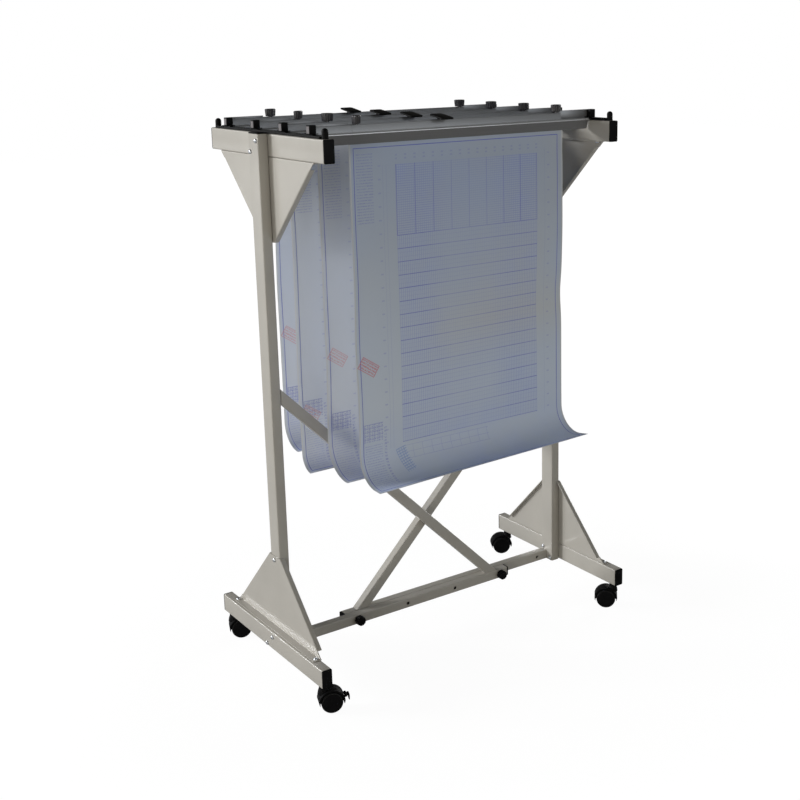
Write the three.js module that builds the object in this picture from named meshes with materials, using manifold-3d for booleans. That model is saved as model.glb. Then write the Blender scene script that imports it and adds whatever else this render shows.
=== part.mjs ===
// Mobile rack for hanging plans. Two end frames on casters are joined by a base whose width
// can be set, and lift-off clamps with hanging plans rest on the rails of their arms.
// Millimetres, +Z up. X runs along the clamps and the front of the rack looks along -Y.
// The origin lies on the floor, midway between the end frames.

import * as THREE from "three";
import { mergeVertices } from "three/addons/utils/BufferGeometryUtils.js";
import Module from "manifold-3d";

// Clearances
const seam = 0.3; // between pieces that are welded, bolted, plugged in or seated
const runGap = 0.3; // around pieces that turn or slide
const bond = 1; // depth by which joined shapes enter each other, and cutters pass a face

// End frames
const rackWidth = 906; // over the outer faces of the feet
const armTop = 1283; // floor to the top of the arms
const footBottom = 66; // floor to the underside of the feet
const tubeWall = 1.5;
const tubeCorner = 3;
const uprightWidth = 25;
const uprightDepth = 45;
const footWidth = 25;
const footHeight = 45;
const footLength = 508; // with its end caps
const armWidth = 25;
const armHeight = 50;
const armLength = 536; // with its end caps
const capFlange = 3;
const capEdge = 0.8;
const armPlug = 18;
const footPlug = 42; // the foot's plugs also hold the caster stems

// Base
const barHeight = 25;
const barDepth = 22;
const barLapGap = 0.5; // from the rack's middle plane to each bar
const barReach = 245; // from the middle of the rack to a bar's free end
const holePitch = 147.3;
const holeCount = 5;
const knobHole = 1.5; // hole pitches from the middle of the rack to a width knob
const studDiameter = 8;
const widthKnobDiameter = 25;
const widthKnobLength = 15;
const widthKnobNeck = 16;
const widthKnobNeckLength = 3;
const widthKnobFlutes = 10;
const widthKnobFluteDepth = 0.7;
const widthKnobEdge = 1.2; // height of the soft edge at the grip's seat
const braceTop = 704; // floor to the top of the brace at the upright
const braceWidth = 25;
const braceAngle = 45;

// Folded gussets
const plate = 2;
const gussetFlange = 12.5; // of the slanting edges
const gussetSeat = 19; // of the wide end, which lies on the foot or under the arm
const lowerGussetTop = 295; // floor to the top of the lower gusset
const lowerGussetHalf = 207;
const upperGussetBottom = 1043; // floor to the bottom of the upper gusset
const upperGussetHalf = 221;
const gussetNarrowHalf = 27;
const gussetNotch = 23; // height that the folded edge stops short of the wide end

// Rails on the arms
const railWidth = 21;
const railLength = 522;
const railBase = 3;
const railRib = 2; // height of the ribs over the base
const railRibWidth = 5;
const pegDiameter = 14;
const pegHeight = 22; // over the top of the arm
const pegPlace = 253; // from the middle of the arm

// Casters
const wheelRadius = 25;
const wheelWidth = 15;
const wheelEdge = 2;
const wheelDish = 1; // depth of the shallow dish in the outer face
const axleDiameter = 6;
const casterWeb = 5; // wall between the two wheels
const casterTrail = 18;
const hoodWall = 3.7;
const hoodGap = 1.8; // between the hood and the wheels
const hoodHalfWidth = 16.5;
const hoodSkirt = 6; // depth of the hood's tips under the axle
const stemDiameter = 11;
const stemLength = 26; // inside the foot
const collarDiameter = 18;
const casterPlace = 230; // from the middle of the foot
const frontLeftSwivel = 340; // directions in which the casters trail, in degrees
const rearLeftSwivel = 339;
const frontRightSwivel = 138;
const rearRightSwivel = 151;
const brakeHub = 6;
const brakePin = 3;
const brakeReach = 9;
const brakeThickness = 3;
const brakePedalHalf = 8;
const brakePedalDepth = 4.6; // of the wide part of the lever
const brakeTab = 12; // drop of the tab at the lever's tip
const brakeEar = 3;
const brakeAngle = 16; // degrees from the axle's level up to the lever's pivot

// Clamps, in their own frame: y from the middle of the end blocks, z from the top of the rails
const clampPlaces = [-192, -69, 64, 202]; // along the rails, from front to back
const clampShift = -2.5; // of the loose clamps to the left on their rails
const planShifts = [2.5, -6.5, -9.5, 18.5]; // of each plan along its clamp
const blockLength = 16;
const blockDepth = 15;
const blockHeight = 20;
const webTop = 17;
const webEndGap = 4; // between the wedge bar and the taller ends of the web
const blockOverhang = 0.1; // from the arm's inner face out to the block's inner end
const tongueHeight = 5;
const tongueLength = 12;
const troughGap = 5; // between the trough's ends and the arms
const troughDepth = 26; // under the top of the rails
const webThickness = 2;
const noseHeight = 6; // of the ridge along the front
const noseReach = 0.5; // of the ridge in front of the blocks
const noseFlat = 1; // between the ridge's top edge and the blocks' front
const troughLip = 6.5; // from the bottom of the sloping wall back to the web's back face
const wallThickness = 1.8;
const baseHeight = 10; // of the solid foot of the trough, which takes the screws
const slotLength = 640;
const slotWidth = 2;
const barLength = 578; // of the wedge bar
const barTop = 15.5;
const barTopWidth = 5.6;
const barFrontTop = 1.2; // height of the front edge of the wedge bar's sloping face
const clampKnobPlace = 276;
const clampKnobSetback = 0.9; // of the screws behind the middle of the blocks
const screwDiameter = 3.5;
const screwDepth = 4; // of the screws in the foot of the trough
const knobSleeve = 8;
const knobNeck = 13;
const knobNeckHeight = 0.5;
const clampKnobLong = 28;
const clampKnobShort = 20.5;
const clampKnobHeight = 17.4;
const clampKnobTaper = 0.88; // width of the grip at its foot against its top
const clampKnobFlutes = 14;
const clampKnobFluteDepth = 0.45;
const leftKnobTurns = [70, -36, 40, 5]; // degrees, from the front clamp to the back one
const rightKnobTurns = [-2, -23, -37, -36];
const handlePlace = -55; // along the clamp
const handleWidth = 34;
const handleDepth = 52;
const handleThickness = 3.5;
const handleCorner = 6;
const handleTilt = 9; // degrees down to the front
const handleRise = 5.5; // from the top of the web to the middle of the plate
const handlePost = 12;
const handleHook = 12; // length of the hook behind the web

// Plans
const planWidth = 594;
const planLength = 841;
const planThickness = 0.7;
const planGrip = 23; // height held inside the clamp
const curlRadii = [62, 72, 38, 62]; // of the plans' lower ends, from front to back
const curlTurns = [97, 92, 90, 92]; // degrees
const curlTails = [24, 6, 0, 5]; // straight lengths past the curl

// Places that follow from the sizes above
const footOuterX = rackWidth / 2;
const footInnerX = footOuterX - footWidth;
const uprightOuterX = footInnerX - seam;
const uprightInnerX = uprightOuterX - uprightWidth;
const armOuterX = uprightInnerX - seam;
const armInnerX = armOuterX - armWidth;
const railMiddleX = (armOuterX + armInnerX) / 2;
const footTop = footBottom + footHeight;
const armBottom = armTop - armHeight;
const barTopZ = footBottom + barHeight;
const barMiddleY = barLapGap + barDepth / 2;
const railSeat = armTop + seam;
const railTop = railSeat + railBase + railRib;
const studReach = widthKnobNeckLength + 2 * (barLapGap + barDepth);
const hoodRadius = wheelRadius + hoodGap + hoodWall;
const casterX = footOuterX - footWidth / 2;
const degree = Math.PI / 180;

const powderCoat = new THREE.MeshStandardMaterial({ color: 0xb3b0a4, roughness: 0.55, metalness: 0.1 });
const blackPlastic = new THREE.MeshStandardMaterial({ color: 0x121214, roughness: 0.45, metalness: 0 });
const aluminium = new THREE.MeshStandardMaterial({ color: 0x8b8e92, roughness: 0.4, metalness: 0.9 });
const paper = new THREE.MeshStandardMaterial({ color: 0x9aa1b8, roughness: 0.8, metalness: 0 });

const wasm = await Module();
wasm.setup();

// The triangles with three different corners: lathes leave others at their poles.
function wholeTriangles(index) {
  const kept = [];
  for (let i = 0; i < index.length; i += 3) {
    const [a, b, c] = index.slice(i, i + 3);
    if (a !== b && b !== c && c !== a) kept.push(a, b, c);
  }
  return new Uint32Array(kept);
}

// A closed geometry as a solid that can be joined and cut.
function solidOf(geometry) {
  const bare = geometry.index ? geometry.toNonIndexed() : geometry.clone();
  bare.deleteAttribute("normal");
  bare.deleteAttribute("uv");
  const merged = mergeVertices(bare, 1e-4);
  const vertProperties = merged.attributes.position.array;
  const triVerts = wholeTriangles(merged.index.array);
  return new wasm.Manifold(new wasm.Mesh({ numProp: 3, vertProperties, triVerts }));
}

function geometryOf(solid) {
  const { vertProperties, triVerts } = solid.getMesh();
  const geometry = new THREE.BufferGeometry();
  geometry.setAttribute("position", new THREE.BufferAttribute(new Float32Array(vertProperties), 3));
  geometry.setIndex(new THREE.BufferAttribute(new Uint32Array(triVerts), 1));
  return geometry;
}

function join(...pieces) {
  return geometryOf(pieces.map(solidOf).reduce((sum, piece) => sum.add(piece)));
}

function cut(piece, ...tools) {
  return geometryOf(tools.map(solidOf).reduce((rest, tool) => rest.subtract(tool), solidOf(piece)));
}

function box(x0, x1, y0, y1, z0, z1) {
  const geometry = new THREE.BoxGeometry(x1 - x0, y1 - y0, z1 - z0);
  return geometry.translate((x0 + x1) / 2, (y0 + y1) / 2, (z0 + z1) / 2);
}

// A box between two distances from the middle, on the left (side < 0) or the right.
function sideBox(side, near, far, y0, y1, z0, z1) {
  return side < 0 ? box(-far, -near, y0, y1, z0, z1) : box(near, far, y0, y1, z0, z1);
}

// A round bar along one axis, from one end to the other.
function rod(axis, diameter, from, to, sides = 14) {
  const geometry = new THREE.CylinderGeometry(diameter / 2, diameter / 2, to - from, sides);
  if (axis === "x") geometry.rotateZ(-Math.PI / 2);
  if (axis === "z") geometry.rotateX(Math.PI / 2);
  const middle = (from + to) / 2;
  return geometry.translate(
    axis === "x" ? middle : 0,
    axis === "y" ? middle : 0,
    axis === "z" ? middle : 0,
  );
}

function roundedRectangle(width, height, radius) {
  const x = width / 2 - radius;
  const y = height / 2 - radius;
  const shape = new THREE.Shape();
  shape.absarc(x, -y, radius, -Math.PI / 2, 0);
  shape.absarc(x, y, radius, 0, Math.PI / 2);
  shape.absarc(-x, y, radius, Math.PI / 2, Math.PI);
  shape.absarc(-x, -y, radius, Math.PI, 1.5 * Math.PI);
  shape.closePath();
  return shape;
}

function extrude(shape, depth, options = {}) {
  return new THREE.ExtrudeGeometry(shape, { depth, bevelEnabled: false, curveSegments: 1, ...options });
}

function outline(points) {
  return new THREE.Shape(points.map(([x, y]) => new THREE.Vector2(x, y)));
}

// A profile drawn in y and z, extruded along x about the middle.
function extrudeAlongX(shape, length, options) {
  const axes = new THREE.Matrix4().makeBasis(
    new THREE.Vector3(0, 1, 0),
    new THREE.Vector3(0, 0, 1),
    new THREE.Vector3(1, 0, 0),
  );
  return extrude(shape, length, options).translate(0, 0, -length / 2).applyMatrix4(axes);
}

// A profile drawn in x and z, extruded along y about the middle.
function extrudeAlongY(shape, length, options) {
  return extrude(shape, length, options).translate(0, 0, -length / 2).rotateX(Math.PI / 2);
}

// A straight tube of rectangular section along z, from z = 0.
function tube(width, depth, length) {
  const shape = roundedRectangle(width, depth, tubeCorner);
  const inner = Math.max(tubeCorner - tubeWall, tubeWall / 3);
  shape.holes.push(roundedRectangle(width - 2 * tubeWall, depth - 2 * tubeWall, inner));
  return extrude(shape, length);
}

// A closed body through a stack of rings with equal counts of points.
function loft(rings) {
  const count = rings[0].length;
  const middles = [rings[0], rings[rings.length - 1]].map((ring) =>
    ring.reduce((sum, point) => sum.add(point), new THREE.Vector3()).divideScalar(count),
  );
  const points = [...rings.flat(), ...middles];
  const faces = [];
  for (let ring = 0; ring < rings.length - 1; ring++) {
    for (let i = 0; i < count; i++) {
      const a = ring * count + i;
      const b = ring * count + ((i + 1) % count);
      faces.push(a, b, b + count, a, b + count, a + count);
    }
  }
  const last = (rings.length - 1) * count;
  for (let i = 0; i < count; i++) {
    const next = (i + 1) % count;
    faces.push(next, i, rings.length * count);
    faces.push(last + i, last + next, rings.length * count + 1);
  }
  const geometry = new THREE.BufferGeometry().setFromPoints(points);
  geometry.setIndex(faces);
  return geometry;
}

// A ring of an oval grip with flutes, at height z.
function flutedRing(long, short, flutes, depth, z, perFlute = 4) {
  const count = flutes * perFlute;
  return Array.from({ length: count }, (_, i) => {
    const angle = (2 * Math.PI * i) / count;
    const dip = (depth * (1 - Math.cos(flutes * angle))) / 2;
    return new THREE.Vector3(
      (long / 2 - dip) * Math.cos(angle),
      (short / 2 - dip) * Math.sin(angle),
      z,
    );
  });
}

const rack = new THREE.Group();

function add(parent, name, geometry, material) {
  const mesh = new THREE.Mesh(geometry, material);
  mesh.name = name;
  parent.add(mesh);
  return mesh;
}

// A plastic end cap along z: a flange with soft edges at z = 0 to capFlange, and a plug below.
function endCap(width, depth, plug) {
  const face = roundedRectangle(width - 2 * capEdge, depth - 2 * capEdge, tubeCorner - capEdge);
  const flange = extrude(face, capFlange - 2 * capEdge, {
    bevelEnabled: true,
    bevelThickness: capEdge,
    bevelSize: capEdge,
    bevelSegments: 1,
  }).translate(0, 0, capEdge);
  const inset = 2 * (tubeWall + seam);
  const corner = Math.max(tubeCorner - tubeWall - seam, seam);
  const body = extrude(roundedRectangle(width - inset, depth - inset, corner), plug + capEdge);
  return join(flange, body.translate(0, 0, -plug));
}

// A folded sheet bracket whose web lies at x = 0 to plate. It is wide at z = 0 and narrow at its
// height, its slanting edges are folded along +x, and its wide end is folded along side * x.
function gusset(height, wideHalf, narrowHalf, side) {
  const web = extrudeAlongX(
    outline([
      [-wideHalf, 0],
      [wideHalf, 0],
      [narrowHalf, height],
      [-narrowHalf, height],
    ]),
    plate,
  ).translate(plate / 2, 0, 0);
  const slope = (wideHalf - narrowHalf) / height;
  const across = plate * Math.hypot(1, slope);
  const notchHalf = wideHalf - slope * gussetNotch;
  const edge = (sign) => {
    const points = [
      [sign * notchHalf, gussetNotch],
      [sign * narrowHalf, height],
      [sign * (narrowHalf - across), height],
      [sign * (notchHalf - across), gussetNotch],
    ];
    return extrudeAlongX(outline(sign > 0 ? points : points.reverse()), gussetFlange);
  };
  const folds = [1, -1].map((sign) => edge(sign).translate(gussetFlange / 2, 0, 0));
  const seat = box(0, gussetSeat, -wideHalf, wideHalf, 0, plate);
  if (side < 0) seat.translate(plate - gussetSeat, 0, 0);
  return join(web, ...folds, seat);
}

function barHolePlaces() {
  return Array.from({ length: holeCount }, (_, i) => (knobHole - i) * holePitch);
}

// One end unit, as it stands at the left: end frame, crossbar and brace are welded together.
function addEndUnit(names, turned) {
  const unit = new THREE.Group();
  unit.rotation.z = turned ? Math.PI : 0;
  rack.add(unit);

  const upright = tube(uprightWidth, uprightDepth, armTop - footBottom);
  add(unit, names.end + "_upright", upright, powderCoat)
    .position.set(-(uprightOuterX + uprightInnerX) / 2, 0, footBottom);

  const stemHoles = [-1, 1].map((end) =>
    rod("z", stemDiameter + 2 * runGap, footBottom - tubeWall, footBottom + 2 * tubeWall)
      .translate(-casterX, end * casterPlace, 0),
  );
  const footTubeLength = footLength - 2 * capFlange - 2 * seam;
  const foot = tube(footWidth, footHeight, footTubeLength)
    .translate(0, 0, -footTubeLength / 2)
    .rotateX(-Math.PI / 2)
    .translate(-casterX, 0, footBottom + footHeight / 2);
  add(unit, names.end + "_foot", cut(foot, ...stemHoles), powderCoat);

  const armTubeLength = armLength - 2 * capFlange - 2 * seam;
  const arm = tube(armWidth, armHeight, armTubeLength)
    .translate(0, 0, -armTubeLength / 2)
    .rotateX(-Math.PI / 2)
    .translate(-railMiddleX, 0, armTop - armHeight / 2);
  add(unit, names.end + "_arm", arm, powderCoat);

  for (const [end, place] of [[-1, names.near], [1, names.far]]) {
    const armCap = endCap(armWidth, armHeight, armPlug)
      .rotateX(end * -Math.PI / 2)
      .translate(-railMiddleX, end * (armLength / 2 - capFlange), armTop - armHeight / 2);
    add(unit, names.end + "_arm_" + place + "_cap", armCap, blackPlastic);
    const footCap = endCap(footWidth, footHeight, footPlug)
      .rotateX(end * -Math.PI / 2)
      .translate(-casterX, end * (footLength / 2 - capFlange), footBottom + footHeight / 2);
    const socket = rod("z", stemDiameter + 2 * runGap, footBottom, footBottom + stemLength + runGap)
      .translate(-casterX, end * casterPlace, 0);
    add(unit, names.end + "_foot_" + place + "_cap", cut(footCap, socket), blackPlastic);
  }

  const lowerSeat = footTop + seam;
  const lower = gusset(lowerGussetTop - lowerSeat, lowerGussetHalf, gussetNarrowHalf, -1);
  add(unit, names.end + "_lower_gusset", lower, powderCoat)
    .position.set(-footInnerX - plate, 0, lowerSeat);
  const upperSeat = armBottom - seam;
  const upper = gusset(upperSeat - upperGussetBottom, upperGussetHalf, gussetNarrowHalf, 1)
    .rotateX(Math.PI);
  add(unit, names.end + "_upper_gusset", upper, powderCoat)
    .position.set(-armOuterX, 0, upperSeat);

  const rail = railWithPegs();
  add(unit, names.end + "_rail", rail, blackPlastic).position.set(-railMiddleX, 0, railSeat);

  add(unit, names.bar + "_crossbar", crossbar(), powderCoat);
  add(unit, names.bar + "_brace", brace(), powderCoat);
}

// A ribbed strip on the arm, with a round-topped peg at each end that stops the clamps.
function railWithPegs() {
  const half = railWidth / 2;
  const profile = outline([
    [-half, 0],
    [half, 0],
    [half, railBase + railRib],
    [half - railRibWidth, railBase + railRib],
    [half - railRibWidth, railBase],
    [-half + railRibWidth, railBase],
    [-half + railRibWidth, railBase + railRib],
    [-half, railBase + railRib],
  ]);
  const strip = extrudeAlongY(profile, railLength);
  const radius = pegDiameter / 2;
  const shoulder = pegHeight - seam - radius;
  const dome = new THREE.Path();
  dome.moveTo(0, railBase / 2);
  dome.lineTo(radius, railBase / 2);
  dome.absarc(0, shoulder, radius, 0, Math.PI / 2);
  const points = dome.getPoints(3);
  points[points.length - 1].x = 0;
  const pegs = [-1, 1].map((end) =>
    new THREE.LatheGeometry(points, 14).rotateX(Math.PI / 2).translate(0, end * pegPlace, 0),
  );
  return join(strip, ...pegs);
}

function crossbar() {
  const start = -uprightInnerX + seam;
  const length = barReach - start;
  const bar = tube(barHeight, barDepth, length)
    .rotateY(Math.PI / 2)
    .translate(start, -barMiddleY, footBottom + barHeight / 2);
  const holes = barHolePlaces().map((x) =>
    rod("y", studDiameter + 2 * runGap, -barDepth, barDepth, 10)
      .translate(x, -barMiddleY, footBottom + barHeight / 2),
  );
  return cut(bar, ...holes);
}

// A mitred tube from the upright down to the crossbar.
function brace() {
  const angle = braceAngle * degree;
  const wall = -uprightInnerX + seam;
  const seat = barTopZ + seam;
  const length = (braceTop - seat) / Math.sin(angle) + 2 * braceWidth;
  const bar = tube(braceWidth, barDepth, length)
    .translate(braceWidth / 2, 0, -braceWidth)
    .rotateY(Math.PI / 2 + angle)
    .translate(wall, -barMiddleY, braceTop);
  const spare = 3 * braceWidth;
  const landing = wall + (braceTop - seat) / Math.tan(angle);
  const behindWall = box(wall - spare, wall, -2 * barDepth, barDepth, seat, braceTop + spare);
  const belowSeat = box(wall, landing + spare, -2 * barDepth, barDepth, seat - spare, seat);
  return cut(bar, behindWall, belowSeat);
}

// A round grip on a stud. The grip's seat is at z = 0, its stud points down.
function widthKnob() {
  const rings = [
    [0.94, 0],
    [1, widthKnobEdge],
    [1, 0.82 * widthKnobLength],
    [0.84, widthKnobLength],
  ].map(([part, z]) => {
    const size = part * widthKnobDiameter;
    return flutedRing(size, size, widthKnobFlutes, widthKnobFluteDepth, widthKnobNeckLength + z, 3);
  });
  const neck = rod("z", widthKnobNeck, 0, widthKnobNeckLength + bond);
  const stud = rod("z", studDiameter, -studReach + widthKnobNeckLength, bond, 10);
  return join(loft(rings), neck, stud);
}

function addWidthKnob(name, side) {
  const knob = widthKnob().rotateX(Math.PI / 2);
  add(rack, name, knob, blackPlastic).position.set(
    side * knobHole * holePitch,
    -barLapGap - barDepth - seam,
    footBottom + barHeight / 2,
  );
}

// Caster pieces stand on the floor about the stem and trail along +x.
function casterHood(hasBrake) {
  const tip = Math.asin(hoodSkirt / hoodRadius);
  const round = new THREE.Shape();
  round.absarc(casterTrail, wheelRadius, hoodRadius, -tip, Math.PI + tip);
  round.closePath();
  const shell = extrudeAlongY(round, 2 * hoodHalfWidth, { curveSegments: 9 });
  const top = footBottom - seam;
  const collar = rod("z", collarDiameter, wheelRadius, top);
  const bay = 2 * (wheelRadius + hoodGap);
  const bays = [-1, 1].map((side) =>
    rod("y", bay, casterWeb / 2, 2 * hoodHalfWidth, 24)
      .rotateZ(side < 0 ? Math.PI : 0)
      .translate(casterTrail, 0, wheelRadius),
  );
  const axleHole = rod("y", axleDiameter + 2 * runGap, -casterWeb, casterWeb)
    .translate(casterTrail, 0, wheelRadius);
  const body = cut(join(shell, collar), ...bays, axleHole);
  const stem = rod("z", stemDiameter, top - bond, footBottom + stemLength);
  return hasBrake ? cut(join(body, stem, ...brakeEars()), brakePinHole()) : join(body, stem);
}

function atBrakePivot(geometry) {
  const reach = hoodRadius + brakeHub / 2 + runGap;
  const angle = brakeAngle * degree;
  return geometry.translate(
    casterTrail + reach * Math.cos(angle),
    0,
    wheelRadius + reach * Math.sin(angle),
  );
}

function brakeEars() {
  const inner = brakeHub / 2 + runGap + hoodWall / 2;
  return [-1, 1].map((side) => {
    const middle = side * (brakeHub + brakeEar / 2);
    const ear = box(-inner, brakePin, middle - brakeEar / 2, middle + brakeEar / 2, -brakePin, brakePin);
    return atBrakePivot(ear.rotateY(-brakeAngle * degree));
  });
}

function brakePinHole() {
  const half = brakeHub + 2 * brakeEar;
  return atBrakePivot(rod("y", brakePin + 2 * runGap, -half, half, 10));
}

// A foot lever: a hub on its pin between the hood's ears, an arm, and a tab that turns down.
function brakeLever() {
  const half = brakeHub - runGap;
  const thin = brakeThickness / 2;
  const hub = rod("y", brakeHub, -half, half);
  const pin = rod("y", brakePin, -brakeHub - brakeEar, brakeHub + brakeEar, 10);
  const arm = box(0, brakeReach, -half, half, -thin, thin);
  const tread = box(brakeReach - brakePedalDepth, brakeReach, -brakePedalHalf, brakePedalHalf, -thin, thin);
  const tab = box(
    brakeReach - brakeThickness, brakeReach, -brakePedalHalf, brakePedalHalf, -brakeTab, 0,
  );
  return atBrakePivot(join(hub, pin, arm, tread, tab));
}

function casterWheels() {
  const inner = casterWeb / 2 + runGap;
  const outer = inner + wheelWidth;
  const profile = [
    [0, inner],
    [wheelRadius - wheelEdge / 2, inner],
    [wheelRadius, inner + wheelEdge / 2],
    [wheelRadius, outer - wheelEdge],
    [wheelRadius - 0.3 * wheelEdge, outer - 0.3 * wheelEdge],
    [wheelRadius - wheelEdge, outer],
    [0.72 * wheelRadius, outer],
    [0.66 * wheelRadius, outer - wheelDish],
    [0, outer - wheelDish],
  ];
  const points = profile.map(([radius, along]) => new THREE.Vector2(radius, along));
  const right = new THREE.LatheGeometry(points, 20);
  const left = right.clone().rotateZ(Math.PI);
  const axle = rod("y", axleDiameter, -inner - bond, inner + bond);
  return join(right, left, axle).translate(casterTrail, 0, wheelRadius);
}

function addCaster(name, sideX, sideY, swivel, hasBrake) {
  const caster = new THREE.Group();
  caster.position.set(sideX * casterX, sideY * casterPlace, 0);
  caster.rotation.z = swivel * degree;
  rack.add(caster);
  add(caster, name + "_caster_hood", casterHood(hasBrake), blackPlastic);
  add(caster, name + "_caster_wheels", casterWheels(), blackPlastic);
  if (hasBrake) add(caster, name + "_brake_lever", brakeLever(), blackPlastic);
}

// Lines that the clamp's section is drawn from
const webBack = blockDepth / 2;
const webFront = webBack - webThickness;
const slopeFoot = webBack - troughLip;
const wallSlope = (slopeFoot + blockDepth / 2) / (troughDepth - noseHeight);
const wallAcross = wallThickness * Math.hypot(1, wallSlope);
const lipInner = -blockDepth / 2 + wallAcross + noseFlat;
const baseTop = baseHeight - troughDepth;
const planMiddle = webFront - seam - planThickness / 2;
const barBack = webFront - planThickness - 2 * seam;
const barFront = lipInner + runGap;
const trayHalf = armInnerX - troughGap;
const blockInnerX = armInnerX + blockOverhang;

function innerWall(z) {
  return -blockDepth / 2 + wallAcross - (z + noseHeight) * wallSlope;
}

// The clamp's long part: a trough with a tall web behind, a ridge in front, a slot for the plan
// along its foot, and a block at each end that rests on a rail.
function hanger() {
  const front = -blockDepth / 2;
  const profile = outline([
    [slopeFoot, -troughDepth],
    [webBack, -troughDepth],
    [webBack, webTop],
    [webFront, webTop],
    [webFront, baseTop],
    [innerWall(baseTop), baseTop],
    [innerWall(-noseHeight), -noseHeight],
    [lipInner, -noseHeight / 2],
    [lipInner, 0],
    [front + noseFlat, -noseHeight / 10],
    [front - noseReach, -noseHeight / 2],
    [front - noseReach, -0.75 * noseHeight],
    [front, -noseHeight],
  ]);
  const trough = extrudeAlongX(profile, 2 * trayHalf);
  const slot = box(
    -slotLength / 2, slotLength / 2, webFront - slotWidth, webFront, -troughDepth - bond, baseTop + bond,
  );
  const screwHoles = [-1, 1].map((side) =>
    rod("z", screwDiameter + 2 * runGap, baseTop - screwDepth - runGap, baseTop + bond, 8)
      .translate(side * clampKnobPlace, clampKnobSetback, 0),
  );
  const webEnd = barLength / 2 + webEndGap;
  const ends = [-1, 1].flatMap((side) => [
    sideBox(side, webEnd, blockInnerX + bond, webFront, webBack, seam, blockHeight),
    sideBox(side, blockInnerX, blockInnerX + blockLength, front, webBack, seam, blockHeight),
    sideBox(side, blockInnerX - tongueLength, blockInnerX + bond, lipInner, webBack, seam, tongueHeight),
  ]);
  return join(cut(trough, slot, ...screwHoles), ...ends);
}

// The long wedge that is drawn down into the trough and presses the plan against the web.
function wedgeBar() {
  const floor = baseTop + seam;
  const knee = -noseHeight - (barFront - innerWall(-noseHeight) - runGap) / wallSlope;
  const profile = outline([
    [barBack, barTop],
    [barBack - barTopWidth, barTop],
    [barFront, barFrontTop],
    [barFront, knee],
    [innerWall(floor) + runGap, floor],
    [barBack, floor],
  ]);
  const holes = [-1, 1].map((side) =>
    rod("z", screwDiameter + 2 * runGap, floor - bond, barTop + bond, 8)
      .translate(side * clampKnobPlace, clampKnobSetback, 0),
  );
  return cut(extrudeAlongX(profile, barLength), ...holes);
}

// An oval fluted grip on a neck, with the screw that draws the wedge bar down.
function clampKnob() {
  const neckBottom = webTop + 2 * runGap;
  const gripBottom = neckBottom + knobNeckHeight;
  const rings = [
    [0.95 * clampKnobTaper, 0],
    [clampKnobTaper, 0.06],
    [1, 0.92],
    [0.94, 1],
  ].map(([part, rise]) => {
    const height = gripBottom + rise * clampKnobHeight;
    const long = part * clampKnobLong;
    const short = part * clampKnobShort;
    return flutedRing(long, short, clampKnobFlutes, clampKnobFluteDepth, height, 2);
  });
  const neck = rod("z", knobNeck, neckBottom, gripBottom + bond);
  const sleeve = rod("z", knobSleeve, barTop + seam, neckBottom + bond);
  const screw = rod("z", screwDiameter, baseTop - screwDepth, barTop + bond, 8);
  return join(loft(rings), neck, sleeve, screw);
}

// A flat tilted finger plate on a post that hooks over the web.
function handle() {
  const edge = handleThickness / 4;
  const face = roundedRectangle(handleWidth - 2 * edge, handleDepth - 2 * edge, handleCorner - edge);
  const middle = webTop + handleRise;
  const finger = extrude(face, handleThickness - 2 * edge, {
    bevelEnabled: true,
    bevelThickness: edge,
    bevelSize: edge,
    bevelSegments: 1,
    curveSegments: 2,
  })
    .translate(0, 0, edge - handleThickness / 2)
    .rotateX(handleTilt * degree)
    .translate(0, 0, middle);
  const half = handlePost / 2;
  const hookFront = webBack + seam;
  const hookBack = hookFront + webThickness;
  const post = box(-half, half, webFront, hookBack, webTop + seam, middle);
  const hook = box(-half, half, hookFront, hookBack, webTop - handleHook, middle);
  return join(finger, post, hook);
}

// A hanging sheet: straight down from the clamp, then a curl and a short tail to the front.
function plan(curlRadius, curlTurn, curlTail) {
  const turn = curlTurn * degree;
  const top = planGrip - troughDepth;
  const bottom = top - (planLength - curlRadius * turn - curlTail);
  const centre = planMiddle - curlRadius;
  const steps = Math.ceil(curlTurn / 7);
  const side = (offset) => {
    const points = [[planMiddle + offset, top]];
    for (let i = 0; i <= steps; i++) {
      const angle = (turn * i) / steps;
      const reach = curlRadius + offset;
      points.push([centre + reach * Math.cos(angle), bottom - reach * Math.sin(angle)]);
    }
    if (curlTail > 0) {
      const [y, z] = points[points.length - 1];
      points.push([y - curlTail * Math.sin(turn), z - curlTail * Math.cos(turn)]);
    }
    return points;
  };
  const half = planThickness / 2;
  const profile = outline([...side(half), ...side(-half).reverse()]);
  return extrudeAlongX(profile, planWidth);
}

function addClamp(index) {
  const number = index + 1;
  const clamp = new THREE.Group();
  clamp.position.set(clampShift, clampPlaces[index], railTop);
  rack.add(clamp);
  const name = "clamp_" + number;
  add(clamp, name + "_hanger", hanger(), aluminium);
  add(clamp, name + "_wedge_bar", wedgeBar(), aluminium);
  const left = add(clamp, name + "_left_knob", clampKnob(), blackPlastic);
  left.position.set(-clampKnobPlace, clampKnobSetback, 0);
  left.rotation.z = leftKnobTurns[index] * degree;
  const right = add(clamp, name + "_right_knob", clampKnob(), blackPlastic);
  right.position.set(clampKnobPlace, clampKnobSetback, 0);
  right.rotation.z = rightKnobTurns[index] * degree;
  add(clamp, name + "_handle", handle(), blackPlastic).position.x = handlePlace;
  const sheet = plan(curlRadii[index], curlTurns[index], curlTails[index]);
  add(clamp, "plan_" + number, sheet, paper).position.x = planShifts[index];
}

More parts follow.
